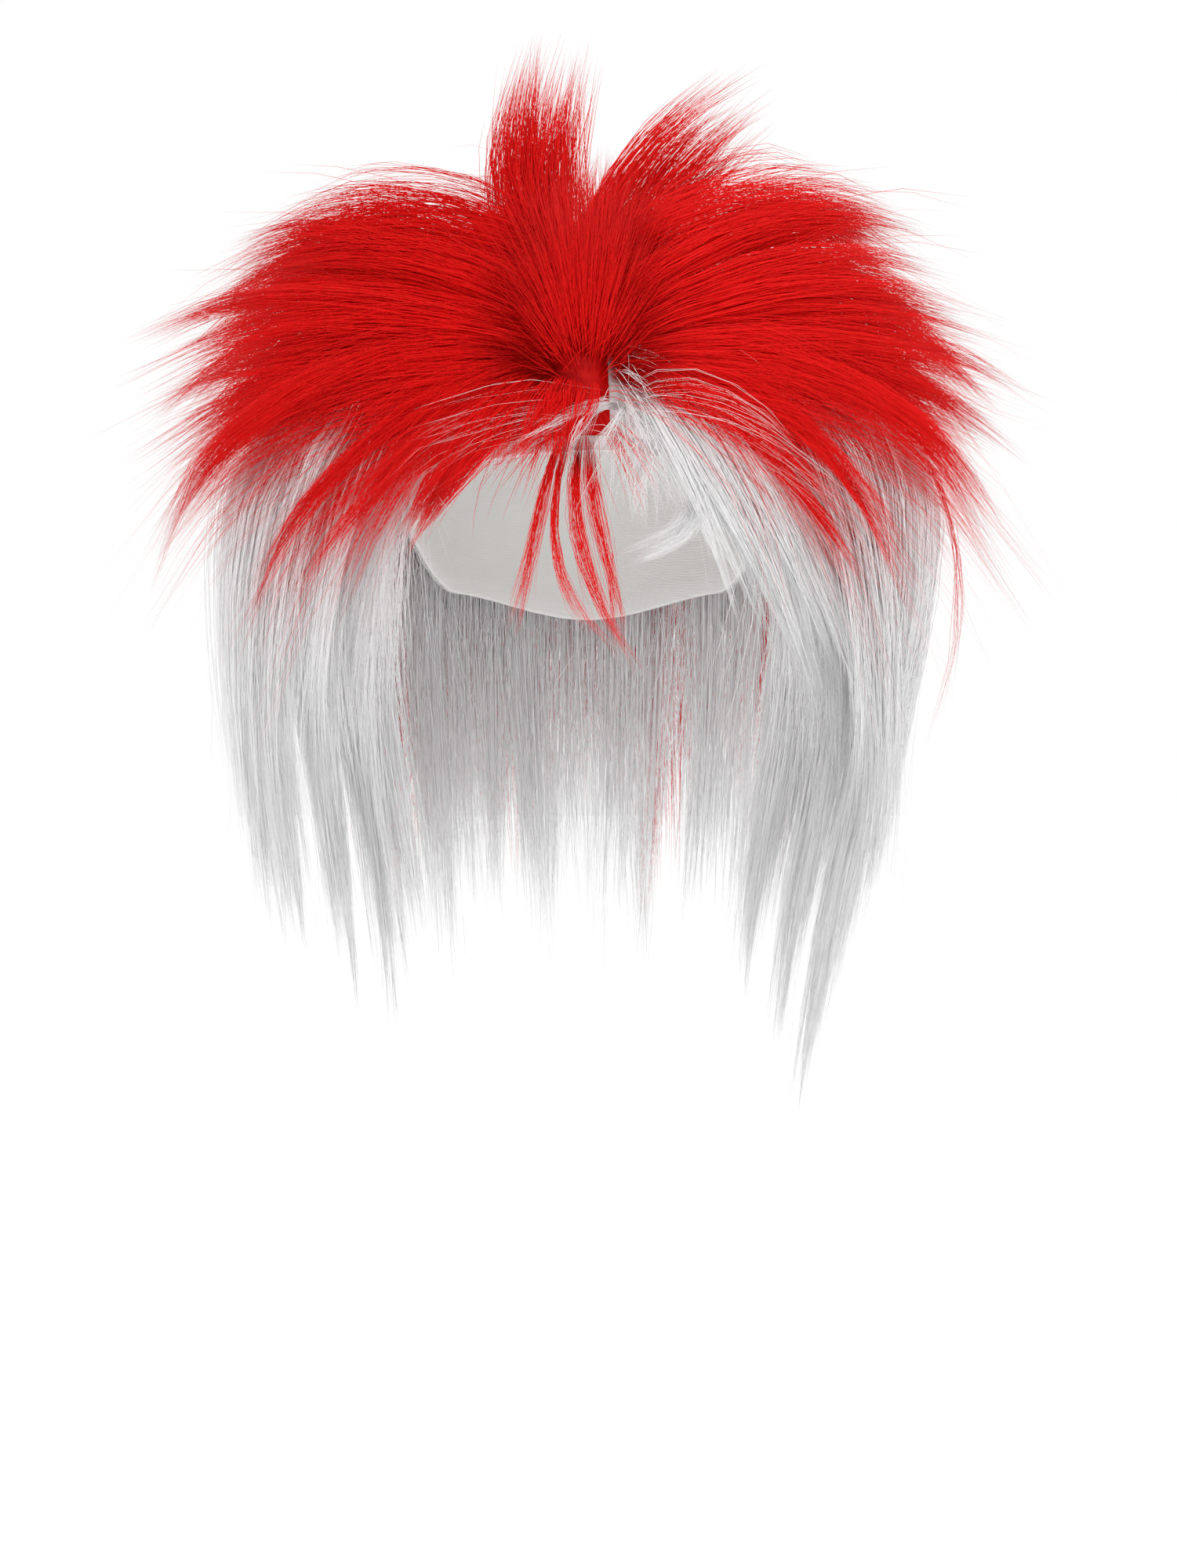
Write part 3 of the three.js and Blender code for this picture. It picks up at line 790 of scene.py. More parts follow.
@dataclass(frozen=True)
class Clumps:
    """Slim tufts that a fan of locks is made of.

    at is a tuft's place in its lock's section, start and end how much of the lock's length it takes up, bend
    how far its tip turns aside and sway the size and phase of its slow wave.
    """

    paths: Paths
    lay: Lay
    at: Array
    start: Array
    end: Array
    bend: Array
    sway: Array

    @staticmethod
    def scattered(paths: Paths, lay: Lay, rng: np.random.Generator) -> Clumps:
        """Chance tufts for a fan of locks, more of them in longer and wider locks.

        Args:
            paths: the locks.
            lay: how the hair lies in them.
            rng: the source of chance.

        Returns:
            The tufts.
        """
        reach = paths.width * np.linalg.norm(paths.control[:, 3] - paths.control[:, 0], axis=-1)
        number = np.round(lay.clumps * len(reach) * reach / reach.sum())
        number = np.maximum(FEWEST_TUFTS, number).astype(int)
        lock = np.repeat(np.arange(len(reach)), number)
        count = len(lock)
        aside = rng.beta(BETA_SHAPE, BETA_SHAPE, count)
        turn = rng.uniform(0, FULL_TURN, count)
        at = disc(1.0, rng.uniform(0.0, INNER_AREA, count), turn)
        end = mixed(lay.shortest, lay.longest, rng.random(count) ** LENGTH_POWER)
        end *= 1 - BETWEEN_SHORTER * np.sin(np.pi * aside)
        later = lay.layered * rng.random(count) ** START_POWER * (START_BELOW - end).clip(0) * START_STEP
        bend = rng.normal(0, lay.splay, (count, 2)) * BEND_WAYS
        sway = np.stack([rng.normal(0, lay.sway, count), rng.uniform(0, FULL_TURN, count)], axis=-1)
        return Clumps(paths.between(lock, aside), lay, at, lay.begin + later, end, bend, sway)

    def laid(self, index: Array, along: Array, spot: Array, bend: Array) -> Array:
        """Lines that lie in the tufts.

        A line follows its lock's curve, set off across it and out of its flat side by its place in the lock
        times the lock's fullness. Its tuft bends aside with the square of the way along, sways slowly and
        droops with the cube of the way along.

        Args:
            index: the tuft of each line.
            along: places along each line, as shares of its lock's length.
            spot: the line's own place round its tuft's middle, at each place, in lock half widths.
            bend: the line's own sideways turn at its tip, beside its tuft's.

        Returns:
            Points with axes line, place and coordinate.
        """
        own = self.paths.picked(index)
        centre = own.points(along)
        across, face = carried(centre, own.outward)
        half = own.width[:, None] / 2 * self.lay.fullness(along)
        offset = self.at[index][:, None] + spot
        turn = (self.bend[index] + bend)[:, None] * (along**2)[..., None]
        sway = self.sway[index, :1] * np.sin(SWAY_TURNS * along + self.sway[index, 1:]) * along
        side = half * offset[..., 0] + turn[..., 0] + sway
        rise = half * self.lay.flat * offset[..., 1] + turn[..., 1] + sway * SWAY_RISE
        fall = UP * self.lay.droop * (along**3)[..., None]
        return centre + across * side[..., None] + face * rise[..., None] - fall

    def fibres(self, rng: np.random.Generator) -> Skin:
        """The fibres round the tufts, drawn together towards the tips, with a few that stray.

        Args:
            rng: the source of chance.

        Returns:
            The skin of all the fibres.
        """
        lay = self.lay
        index = np.repeat(np.arange(len(self.start)), lay.fibres)
        count = len(index)
        stray = rng.random(count) < lay.stray
        end = self.end[index] * rng.uniform(1 - lay.ragged, FIBRE_LONGEST, count)
        end = np.where(stray, end * rng.uniform(*STRAY_LENGTHS, count), end)
        way = np.linspace(0.0, 1.0, lay.places)
        along = mixed(self.start[index][:, None], end[:, None], way)
        turn = rng.uniform(0, FULL_TURN, count)
        spot = disc(lay.spread, rng.random(count), turn)
        spot = spot[:, None] * (1 - lay.gather * way**TIPWARD_POWER)[:, None]
        bend = rng.normal(0, lay.splay * FIBRE_SPLAY, (count, 2))
        points = self.laid(index, along, spot, bend) + self.wander(stray, along, way, rng)
        points = shortened(HEAD.clear(points, BACKING_LOW))
        thick = lay.radius * rng.uniform(*THICKNESSES, (count, 1))
        thick = thick * np.where(stray, STRAY_THICKNESS, 1.0)[:, None]
        radius = thick * mixed(1.0, TIP_THICKNESS, way**TIPWARD_POWER)
        return fibre_skin(points, radius, rng.integers(0, FIBRE_COLUMNS, count))

    def wander(self, stray: Array, along: Array, way: Array, rng: np.random.Generator) -> Array:
        """How far fibres leave their places: strays drift off as the square of the way, and all wave.

        Args:
            stray: whether each fibre strays.
            along: places along each fibre, as shares of its lock's length.
            way: the same as shares of the fibre's own length.
            rng: the source of chance.

        Returns:
            Steps with axes fibre, place and coordinate.
        """
        count = len(stray)
        drift = self.lay.stray_reach * rng.uniform(-1, 1, (count, 1, 3)) * (along**2)[..., None]
        phase = rng.uniform(0, FULL_TURN, (count, 1, 3))
        size = self.lay.wave * rng.uniform(*WAVE_SIZES, (count, 1, 1))
        ripple = size * np.sin(WAVE_TURNS * way[:, None] + phase) * way[:, None]
        return np.where(stray[:, None, None], drift, 0.0) + ripple


@dataclass(frozen=True)
class Patch:
    """A part of the cap that one panel of hair covers, in degrees: lower may vary round the head."""

    start: float
    end: float
    upper: float
    lower: Callable[[Array], Array]

    def shell(self, columns: int, rows: int) -> Skin:
        """The panel's backing: a thin pillow over the patch, thickest inside and closed along its edges.

        A point lies at the low height plus the thickness times how far it is from the edges.

        Args:
            columns: steps round the head.
            rows: steps down it.

        Returns:
            The closed skin.
        """
        steep_down, steep_round = 8, 14
        u, v = np.meshgrid(np.linspace(0, 1, columns + 1), np.linspace(0, 1, rows + 1), indexing="ij")
        azimuth = mixed(self.start, self.end, u)
        polar = mixed(self.upper, self.lower(azimuth), v)
        rim = np.minimum(1.0, np.minimum(np.where(self.upper > 0, v, 1.0), 1 - v) * steep_down)
        if self.end - self.start < 360:
            rim = np.minimum(rim, np.minimum(u, 1 - u) * steep_round)
        over = HEAD.at(azimuth, polar, mixed(BACKING_LOW, BACKING_HIGH, eased(rim, 0, 1)))
        under = HEAD.at(azimuth, polar, np.full_like(u, BACKING_LOW))
        size = (columns + 1) * (rows + 1)
        i, j = np.meshgrid(np.arange(columns), np.arange(rows), indexing="ij")
        a = (i * (rows + 1) + j).ravel()
        b = a + rows + 1
        top = corners(a, a + 1, b + 1, b)
        bottom = corners(a, b, b + 1, a + 1)
        # The backing lies at the root end of the fibre map, so it takes the dark root colour: painted shade
        shaded_root_band = np.array([0.96, 0.03])
        grid = np.stack([u, v], axis=-1).reshape(-1, 2) * shaded_root_band
        vertices = np.concatenate([over.reshape(-1, 3), under.reshape(-1, 3)])
        return Skin(vertices, [top, bottom + size], [grid[top], grid[bottom]])

    def roots(self, count: int, rng: np.random.Generator) -> Array:
        """Chance points on the backing, evenly spread over the patch's area.

        Args:
            count: how many.
            rng: the source of chance.

        Returns:
            The points.
        """
        azimuth = rng.uniform(self.start, self.end, count)
        top = math.cos(math.radians(self.upper))
        foot = np.cos(np.radians(self.lower(azimuth)))
        polar = np.degrees(np.arccos(mixed(top, foot, rng.random(count))))
        return HEAD.at(azimuth, polar, COAT_OFFSET)


# How short fibres differ in length and lift, where their curve is pulled up, and how thin they end
COAT_LENGTHS = (0.5, 1.2)
COAT_LIFTS = (0.5, 1.3)
COAT_NEAR = 0.35
COAT_FAR = 0.55
COAT_FAR_LIFT = 0.3
COAT_TIP_LIFT = 0.7
COAT_TIP_THICKNESS = 0.3


@dataclass(frozen=True)
class Undercoat:
    """Short fibres that cover a panel's backing between its locks.

    length is how far they go along the head, lift how far they rise off it and fall how far their tips drop.
    They lean away from the whorl, or down where there is none, and frizz is how far their ways differ.
    """

    count: int
    length: float
    lift: float
    fall: float
    whorl: Triple | None = None
    radius: float = 0.18 * MM
    frizz: float = 0.35
    places: int = 5

    def fibres(self, patch: Patch, rng: np.random.Generator) -> Skin:
        """Fibres rooted over a patch that lean away from the whorl, or down, along the head.

        A fibre goes along the head's surface by its length, rises by lift in the middle and drops by fall.

        Args:
            patch: the part of the cap.
            rng: the source of chance.

        Returns:
            The skin of all the fibres.
        """
        root = patch.roots(self.count, rng)
        outward = HEAD.outward(root)
        away = root - np.array(self.whorl) if self.whorl else -UP + 0 * root
        away = away + rng.normal(0, self.frizz, root.shape) * np.linalg.norm(away, axis=-1, keepdims=True)
        lean = unit(away - outward * (away * outward).sum(-1, keepdims=True))
        length = (self.length * rng.uniform(*COAT_LENGTHS, self.count))[:, None]
        lifted = outward * self.lift * rng.uniform(*COAT_LIFTS, (self.count, 1))
        near = root + lean * length * COAT_NEAR + lifted
        tip = root + lean * length + outward * self.lift * COAT_TIP_LIFT - UP * self.fall
        far = mixed(near, tip, COAT_FAR) + outward * self.lift * COAT_FAR_LIFT
        control = np.stack([root, near, far, tip], axis=1)
        paths = Paths(control, np.ones(self.count), outward, np.arange(self.count))
        way = np.linspace(0, 1, self.places)
        t = np.broadcast_to(way, (self.count, self.places))
        points = shortened(HEAD.clear(paths.points(t), COAT_OFFSET))
        radius = np.broadcast_to(self.radius * mixed(1.0, COAT_TIP_THICKNESS, way), t.shape)
        return fibre_skin(points, radius, rng.integers(0, FIBRE_COLUMNS, self.count))


class Nodes:
    """Adds shader nodes to a tree and links them, one call a node."""

    def __init__(self, tree: bpy.types.NodeTree) -> None:
        """Keeps the tree that the nodes go into."""
        self.tree = tree

    def fill(self, node: bpy.types.Node, inputs: dict) -> None:
        """Sets a node's inputs, by name or number, to values or links them to sockets."""
        for name, value in inputs.items():
            if isinstance(value, Socket):
                self.tree.links.new(value, node.inputs[name])
            else:
                node.inputs[name].default_value = value

    def add(self, kind: str, inputs: dict | None = None, **settings: object) -> bpy.types.Node:
        """One node with its settings and inputs.

        Args:
            kind: Blender's name of the node type.
            inputs: socket name or number to a value, or to a socket to link.
            settings: the node's own properties.

        Returns:
            The node.
        """
        node = self.tree.nodes.new(kind)
        for name, value in settings.items():
            setattr(node, name, value)
        self.fill(node, inputs or {})
        return node

    def maths(self, operation: str, *values: object) -> Socket:
        """The result of one operation on values or sockets."""
        return self.add("ShaderNodeMath", dict(enumerate(values)), operation=operation).outputs[0]

    def blended(self, a: Socket, b: Socket, share: float) -> Socket:
        """The first value's share and what is left of the second, added."""
        return self.maths("MULTIPLY_ADD", a, share, self.maths("MULTIPLY", b, round(1 - share, 6)))

    def ranged(self, value: Socket, ends: tuple[float, float]) -> Socket:
        """A value from 0 to 1 spread between two ends."""
        made = self.add("ShaderNodeMapRange", {"Value": value, "To Min": ends[0], "To Max": ends[1]})
        return made.outputs[0]

    def ramp(self, value: Socket, stops: Sequence[tuple[float, Triple]]) -> Socket:
        """A colour that runs through stops of place and colour as the value goes from 0 to 1."""
        node = self.add("ShaderNodeValToRGB", {"Fac": value})
        elements = node.color_ramp.elements
        for i, (place, colour) in enumerate(stops):
            element = elements[i] if i < len(elements) else elements.new(place)
            element.position = place
            element.color = (*colour, 1.0)
        return node.outputs["Color"]


def plain_material(name: str) -> tuple[bpy.types.Material, Nodes, bpy.types.Node]:
    """A new material, what adds nodes to it, and its shader."""
    made = bpy.data.materials.new(name)
    made.use_nodes = True
    return made, Nodes(made.node_tree), made.node_tree.nodes["Principled BSDF"]


def fibre_group() -> bpy.types.NodeTree:
    """The shared look of fibres: a chance value for each column of the fibre map, and how it runs along.

    Returns:
        A group with outputs Shade (chance of the fibre), Along (0 at the root) and Streak (patches on it).
    """
    apart, streaks = 3.17, 4.0
    tree = bpy.data.node_groups.new("fibre_run", "ShaderNodeTree")
    tree.interface.new_socket("Place", in_out="INPUT", socket_type="NodeSocketVector")
    for name in ("Shade", "Along", "Streak"):
        tree.interface.new_socket(name, in_out="OUTPUT", socket_type="NodeSocketFloat")
    nodes = Nodes(tree)
    given = nodes.add("NodeGroupInput")
    split = nodes.add("ShaderNodeSeparateXYZ", {0: given.outputs["Place"]})
    column = nodes.maths("FLOOR", nodes.maths("MULTIPLY", split.outputs["X"], float(FIBRE_COLUMNS)))
    chance = nodes.add("ShaderNodeTexWhiteNoise", {"W": column}, noise_dimensions="1D")
    across = nodes.maths("MULTIPLY", column, apart)
    down = nodes.maths("MULTIPLY", split.outputs["Y"], streaks)
    spot = nodes.add("ShaderNodeCombineXYZ", {"X": across, "Y": down})
    patch = nodes.add(
        "ShaderNodeTexNoise",
        {"Vector": spot.outputs[0], "Scale": 1.0, "Detail": 2.0},
        noise_dimensions="2D",
    )
    nodes.add(
        "NodeGroupOutput",
        {"Shade": chance.outputs["Value"], "Along": split.outputs["Y"], "Streak": patch.outputs["Fac"]},
    )
    return tree


@dataclass(frozen=True)
class FibreFinish:
    """A synthetic fibre: colours from its root to its tip, the root darker as painted shade, how far single
    fibres differ, and its gloss.
    """

    name: str
    root: Triple
    middle: Triple
    tip: Triple
    spread: tuple[float, float]
    rough: tuple[float, float] = (0.42, 0.6)
    root_shade_share: float = 0.22
    single_share: float = 0.65
    specular: float = 0.1

    def material(self, group: bpy.types.NodeTree) -> bpy.types.Material:
        """The fibre's material.

        Args:
            group: the shared look of fibres.

        Returns:
            The material.
        """
        made, nodes, shader = plain_material(self.name)
        place = nodes.add("ShaderNodeUVMap", uv_map=FIBRE_MAP)
        run = nodes.add("ShaderNodeGroup", node_tree=group)
        nodes.fill(run, {"Place": place.outputs[0]})
        # The root colour, darker up to root_shade_share along the fibre, is painted shade near the cap
        stops = ((0.0, self.root), (self.root_shade_share, self.middle), (1.0, self.tip))
        colour = nodes.ramp(run.outputs["Along"], stops)
        level = nodes.blended(run.outputs["Shade"], run.outputs["Streak"], self.single_share)
        gain = nodes.ranged(level, self.spread)
        tinted = nodes.add("ShaderNodeVectorMath", {0: colour, "Scale": gain}, operation="SCALE")
        nodes.fill(
            shader,
            {
                "Base Color": tinted.outputs[0],
                "Roughness": nodes.ranged(run.outputs["Streak"], self.rough),
                "Specular IOR Level": self.specular,
            },
        )
        return made


@dataclass(frozen=True)
class ClothFinish:
    """Off-white stretch cloth: a fine knit, its hollows darkened as painted shade, with slight mottling."""

    name: str = "cap_knit"
    pale: Triple = (0.86, 0.855, 0.845)
    shade_and_mottle: Triple = (0.74, 0.735, 0.72)
    wale: float = 1.1 * MM
    mottle: float = 60.0
    hollow_shade_share: float = 0.7
    relief: float = 0.4 * MM

    def material(self) -> bpy.types.Material:
        """The cloth's material: crossed waves as knit, darker in its hollows as painted shade, with noise
        for mottling.

        Returns:
            The material.
        """
        waves_per_scale, pale_from = 0.314, 0.75
        made, nodes, shader = plain_material(self.name)
        where = nodes.add("ShaderNodeTexCoord").outputs["Object"]
        knit = [
            nodes.add(
                "ShaderNodeTexWave",
                {
                    "Vector": where,
                    "Scale": waves_per_scale / self.wale * closer,
                    "Distortion": 1.2,
                    "Detail": 1.0,
                },
                bands_direction=way,
            ).outputs["Fac"]
            for way, closer in (("Z", 1.0), ("DIAGONAL", 1.3))
        ]
        loops = nodes.maths("MULTIPLY", *knit)
        noise = nodes.add("ShaderNodeTexNoise", {"Vector": where, "Scale": self.mottle, "Detail": 3.0})
        # The colour follows the knit's height, darker in its hollows as painted shade, mixed with the
        # mottling
        level = nodes.blended(loops, noise.outputs["Fac"], self.hollow_shade_share)
        bump = nodes.add("ShaderNodeBump", {"Height": loops, "Strength": 0.4, "Distance": self.relief})
        nodes.fill(
            shader,
            {
                "Base Color": nodes.ramp(level, ((0.0, self.shade_and_mottle), (pale_from, self.pale))),
                "Normal": bump.outputs[0],
                "Roughness": 0.9,
                "Specular IOR Level": 0.2,
            },
        )
        return made


# Root colours darker than the middles: painted shade at the roots and on the backings
RED_FIBRE = FibreFinish(
    "red_fibre", (0.55, 0.002, 0.002), (0.97, 0.009, 0.008), (0.98, 0.016, 0.014), (0.9, 1.0)
)
WHITE_FIBRE = FibreFinish(
    "white_fibre", (0.94, 0.94, 0.945), (0.97, 0.97, 0.975), (0.97, 0.97, 0.975), (0.98, 1.0)
)
Dress = dict[Slot, bpy.types.Material]


def dress() -> Dress:
    """The material of each slot, made once."""
    group = fibre_group()
    return {
        Slot.RED: RED_FIBRE.material(group),
        Slot.WHITE: WHITE_FIBRE.material(group),
        Slot.CAP: ClothFinish().material(),
    }


def settle(piece: bpy.types.Object, node: str, slot: Slot, finishes: Dress) -> None:
    """Gives a piece its finish, sets it in a node's place on the wig and reports it.

    Args:
        piece: the piece.
        node: the node that it stands for.
        slot: its material slot in the record.
        finishes: the materials.
    """
    piece.data.materials.append(finishes[slot])
    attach(piece, "root")
    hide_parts(node)
    triangles = len(piece.data.loops) - 2 * len(piece.data.polygons)
    log.info("%s: %d triangles", piece.name, triangles)


def close_seams(piece: bpy.types.Object) -> None:
    """Joins the points of a piece that lie on each other, such as at a pole."""
    touching, flat = 1e-6, 1e-7
    mesh = bmesh.new()
    mesh.from_mesh(piece.data)
    bmesh.ops.remove_doubles(mesh, verts=mesh.verts, dist=touching)
    bmesh.ops.dissolve_degenerate(mesh, edges=mesh.edges, dist=flat)
    mesh.to_mesh(piece.data)
    mesh.free()


@dataclass(frozen=True)
class Cap:
    """The stretch cap: a dome of cloth with a rim that dips at the temples and the nape."""

    wall: float = 2 * MM
    rim_round: float = 1.004
    columns: int = 80
    rows: int = 26

    def build(self, finishes: Dress) -> None:
        """Makes the cap: the inside dome, a rounded rim and the outside dome as one closed surface.

        A point is on the head at the azimuth u and at a share v of the rim's polar angle, inside for the
        first half of the rows and outside for the second.

        Args:
            finishes: the materials.
        """
        u = np.linspace(0, 360, self.columns + 1)[:-1]
        half = np.linspace(0.0, 1.0, self.rows)
        share = np.concatenate([half, [self.rim_round], half[::-1]])
        height = np.concatenate([np.zeros(self.rows), [0.5], np.ones(self.rows)]) * self.wall
        count = len(share)
        azimuth = np.broadcast_to(u[:, None], (self.columns, count))
        points = HEAD.at(azimuth, cap_edge(azimuth) * share, height[None])
        i, j = np.meshgrid(np.arange(self.columns), np.arange(count - 1), indexing="ij")
        a = (i * count + j).ravel()
        b = (((i + 1) % self.columns) * count + j).ravel()
        place = np.stack([i / self.columns, j / count], axis=-1).reshape(-1, 1, 2)
        step = np.array([[0, 0], [1, 0], [1, 1], [0, 1]]) / np.array([self.columns, count])
        skin = Skin(points.reshape(-1, 3), [corners(a, b, b + 1, a + 1)], [place + step])
        piece = skin.piece("cap_cloth")
        close_seams(piece)
        settle(piece, "cap", Slot.CAP, finishes)


class Section(NamedTuple):
    """Locks of one kind and how the hair lies in them."""

    paths: Paths
    lay: Lay


class Coat(NamedTuple):
    """Short fibres and the part of the cap that they cover."""

    patch: Patch
    fibres: Undercoat


@dataclass(frozen=True, kw_only=True)
class HairPanel:
    """A panel of hair sewn on the cap: locks, a backing under them and short fibres between them."""

    node: str
    slot: Slot
    seed: int
    coat: Undercoat
    grid: tuple[int, int] = (40, 12)

    def backing(self) -> Patch:
        """The part of the cap that the backing covers."""
        raise NotImplementedError

    def coats(self) -> list[Coat]:
        """The short fibres, in the order of their making: as a rule, all over the backing."""
        return [Coat(self.backing(), self.coat)]

    def sections(self) -> dict[str, list[Section]]:
        """The locks of each piece, in the order of their making."""
        raise NotImplementedError

    def build(self, finishes: Dress) -> None:
        """Makes the panel's pieces, the last of them with the backing and the short fibres.

        Args:
            finishes: the materials.
        """
        rng = np.random.default_rng(self.seed)
        pieces = self.sections()
        last = list(pieces)[-1]
        for name, parts in pieces.items():
            skins = [Clumps.scattered(part.paths, part.lay, rng).fibres(rng) for part in parts]
            if name == last:
                skins.append(self.backing().shell(*self.grid))
                skins += [coat.fibres.fibres(coat.patch, rng) for coat in self.coats()]
            settle(Skin.joined(skins).piece(name), self.node, self.slot, finishes)


# Ways of lying that more than one panel uses
THIN = Lay(
    clumps=5, fibres=13, radius=0.11 * MM, shortest=0.8, longest=1.06, layered=0.0, splay=3 * MM,
    spread=0.8, gather=0.4, wave=1.4 * MM, stray_reach=10 * MM,
)
WISPY = Lay(
    clumps=3, fibres=9, radius=0.11 * MM, shortest=0.7, splay=3 * MM, spread=0.7, gather=0.5,
    wave=1.6 * MM, stray_reach=8 * MM,
)
FAINT = replace(WISPY, fibres=6, radius=0.08 * MM, splay=6 * MM, spread=1.2, gather=0.0)
FALLING = Lay(
    clumps=10, fibres=24, shortest=0.8, longest=1.0, layered=0.1, ragged=0.13, tip=0.45, spread=0.75,
    gather=0.6, stray=0.07, stray_reach=15 * MM,
)


@dataclass(frozen=True, kw_only=True)
class CrownHair(HairPanel):
    """Red hair over the top of the cap: two wings that fan from the hairline, the back and two spikes."""

    node: str = "crown_hair"
    slot: Slot = Slot.RED
    seed: int = SEED
    grid: tuple[int, int] = (72, 14)
    rise: float = 0.5
    ahead_step: float = 14
    behind_reach: float = 0.94
    behind_step: float = 58
    behind_turn: float = 58
    behind_raise: float = 5
    behind_fuller: float = 1.2
    wing: Lay = Lay(
        clumps=12, shortest=0.9, longest=1.08, ragged=0.18, tip=0.45, droop=7 * MM, splay=7 * MM, gather=0.6
    )
    behind: Lay = replace(wing, clumps=10)
    ridge: Lay = replace(wing, clumps=8, fibres=16, radius=0.17 * MM, spread=0.9, gather=0.3)
    veil: Lay = replace(ridge, clumps=11, radius=0.13 * MM, splay=9 * MM, droop=16 * MM)
    feather: Lay = Lay(
        clumps=11, fibres=9, radius=0.1 * MM, shortest=0.8, longest=1.08, droop=30 * MM, splay=10 * MM,
        spread=1.3, gather=0.2, stray=0.3, stray_reach=14 * MM,
    )
    flyaway: Lay = replace(feather, clumps=3, fibres=7, radius=0.08 * MM, longest=1.14, droop=16 * MM)
    trail: Lay = Lay(
        clumps=12, fibres=16, radius=0.15 * MM, shortest=0.85, longest=1.04, layered=0.0, tip=0.2,
        splay=3 * MM, spread=0.7, gather=0.7, stray_reach=12 * MM,
    )
    outside: Lay = replace(THIN, clumps=3, fibres=7, begin=0.1)
    ring: Lay = Lay(clumps=10, fibres=19, stray_reach=14 * MM)
    middle_ring: Lay = replace(ring, clumps=7, fibres=18)
    low_ring: Lay = replace(ring, fibres=20)
    brim: Lay = replace(
        feather, clumps=12, fibres=11, radius=0.13 * MM, droop=18 * MM, spread=1.0, gather=0.5
    )
    spike: Lay = Lay(
        clumps=13, fibres=18, shortest=0.74, longest=1.04, ragged=0.3, tip=0.7, splay=5 * MM, spread=0.8,
        gather=0.5, stray_reach=14 * MM,
    )
    gauze: Lay = Lay(
        clumps=10, fibres=9, radius=0.08 * MM, splay=9 * MM, spread=1.2, gather=0.1, stray=0.3,
        stray_reach=14 * MM,
    )
    top: Patch = Patch(0, 360, 0, level_edge(40))
    parting: Patch = Patch(-10, 10, 24, level_edge(63))
    forward: Patch = Patch(-12, 9, 54, level_edge(67))
    top_coat: Undercoat = Undercoat(700, 90 * MM, 7 * MM, 4 * MM, WHORL, frizz=0.2)
    coat: Undercoat = Undercoat(400, 80 * MM, 11 * MM, 6 * MM, WHORL, frizz=0.2)
    parting_coat: Undercoat = Undercoat(1500, 84 * MM, 9 * MM, 2 * MM, WHORL, 0.14 * MM, frizz=0.15)
    forward_coat: Undercoat = Undercoat(700, 60 * MM, 9 * MM, 0.0, WHORL, 0.14 * MM, frizz=0.15)

    def backing(self) -> Patch:
        """All of the cap above the crown's edge."""
        return Patch(0, 360, 0, level_edge(CROWN_EDGE))

    def coats(self) -> list[Coat]:
        """Hair that leaves the whorl: over the top, the whole crown, along the parting and before it."""
        return [
            Coat(self.top, self.top_coat),
            Coat(self.backing(), self.coat),
            Coat(self.parting, self.parting_coat),
            Coat(self.forward, self.forward_coat),
        ]

    def sections(self) -> dict[str, list[Section]]:
        """The two wings, the back of the crown and the spikes."""
        return {
            "crown_wing_right": self.wing_sections(Hand.RIGHT),
            "crown_wing_left": self.wing_sections(Hand.LEFT),
            "crown_back": self.back_sections(),
            "crown_spikes": [
                Section(wisp_paths(SPIKE_STRANDS), self.spike),
                Section(swept_paths(SPARSE_TUFTS).alone(), self.gauze),
            ],
        }

    def wing_sections(self, hand: Hand) -> list[Section]:
        """One wing: its full front, the ridge over it, thin hair below, strays, trails and the hair behind.

        Args:
            hand: the wearer's side.

        Returns:
            The sections.
        """
        rows = WINGS[hand]
        parts = [
            Section(swept_paths(self.risen(rows[BODY_ROWS])), self.wing),
            Section(swept_paths(rows[RIDGE_ROWS]), self.ridge),
            Section(swept_paths(self.risen(rows[LOWER_ROWS])), self.veil),
            Section(swept_paths(self.risen(rows)), self.flyaway),
            Section(swept_paths(self.risen(self.brought_forward(rows[LOWER_ROWS]))), self.feather),
            Section(wisp_paths(TRAILS[hand]), self.trail),
        ]
        if STRAYS[hand]:
            parts.append(Section(hanging_paths(STRAYS[hand]), self.outside))
        parts.append(Section(swept_paths(self.set_back(rows[BODY_ROWS])), self.behind))
        return parts

    def risen(self, rows: Sequence[Sweep]) -> list[Sweep]:
        """The same locks rooted nearer the whorl: they rise from the hairline before they turn aside."""
        return [row._replace(polar=mixed(row.polar, WHORL_POLAR, self.rise)) for row in rows]

    def brought_forward(self, rows: Sequence[Sweep]) -> list[Sweep]:
        """The same locks brought forward, to lie over the hair below them."""
        step = self.ahead_step
        return [row._replace(tip_y=row.tip_y - step, lift=row.lift + step) for row in rows]

    def set_back(self, rows: Sequence[Sweep]) -> list[Sweep]:
        """The fuller locks that stand behind a wing's locks."""
        return [
            row._replace(
                tip_x=row.tip_x * self.behind_reach,
                tip_y=row.tip_y + self.behind_step,
                azimuth=row.azimuth + math.copysign(self.behind_turn, row.tip_x),
                polar=row.polar - self.behind_raise,
                width=row.width * self.behind_fuller,
            )
            for row in rows
        ]

    def back_sections(self) -> list[Section]:
        """Rings of locks round the back of the crown, and a feathered brim below them."""
        lays = (self.ring, self.middle_ring, self.low_ring)
        rings = [Section(ring_paths(ring), lay) for ring, lay in zip(CROWN_RINGS, lays)]
        return rings + [Section(ring_paths(ring), self.brim) for ring in CROWN_BRIM]


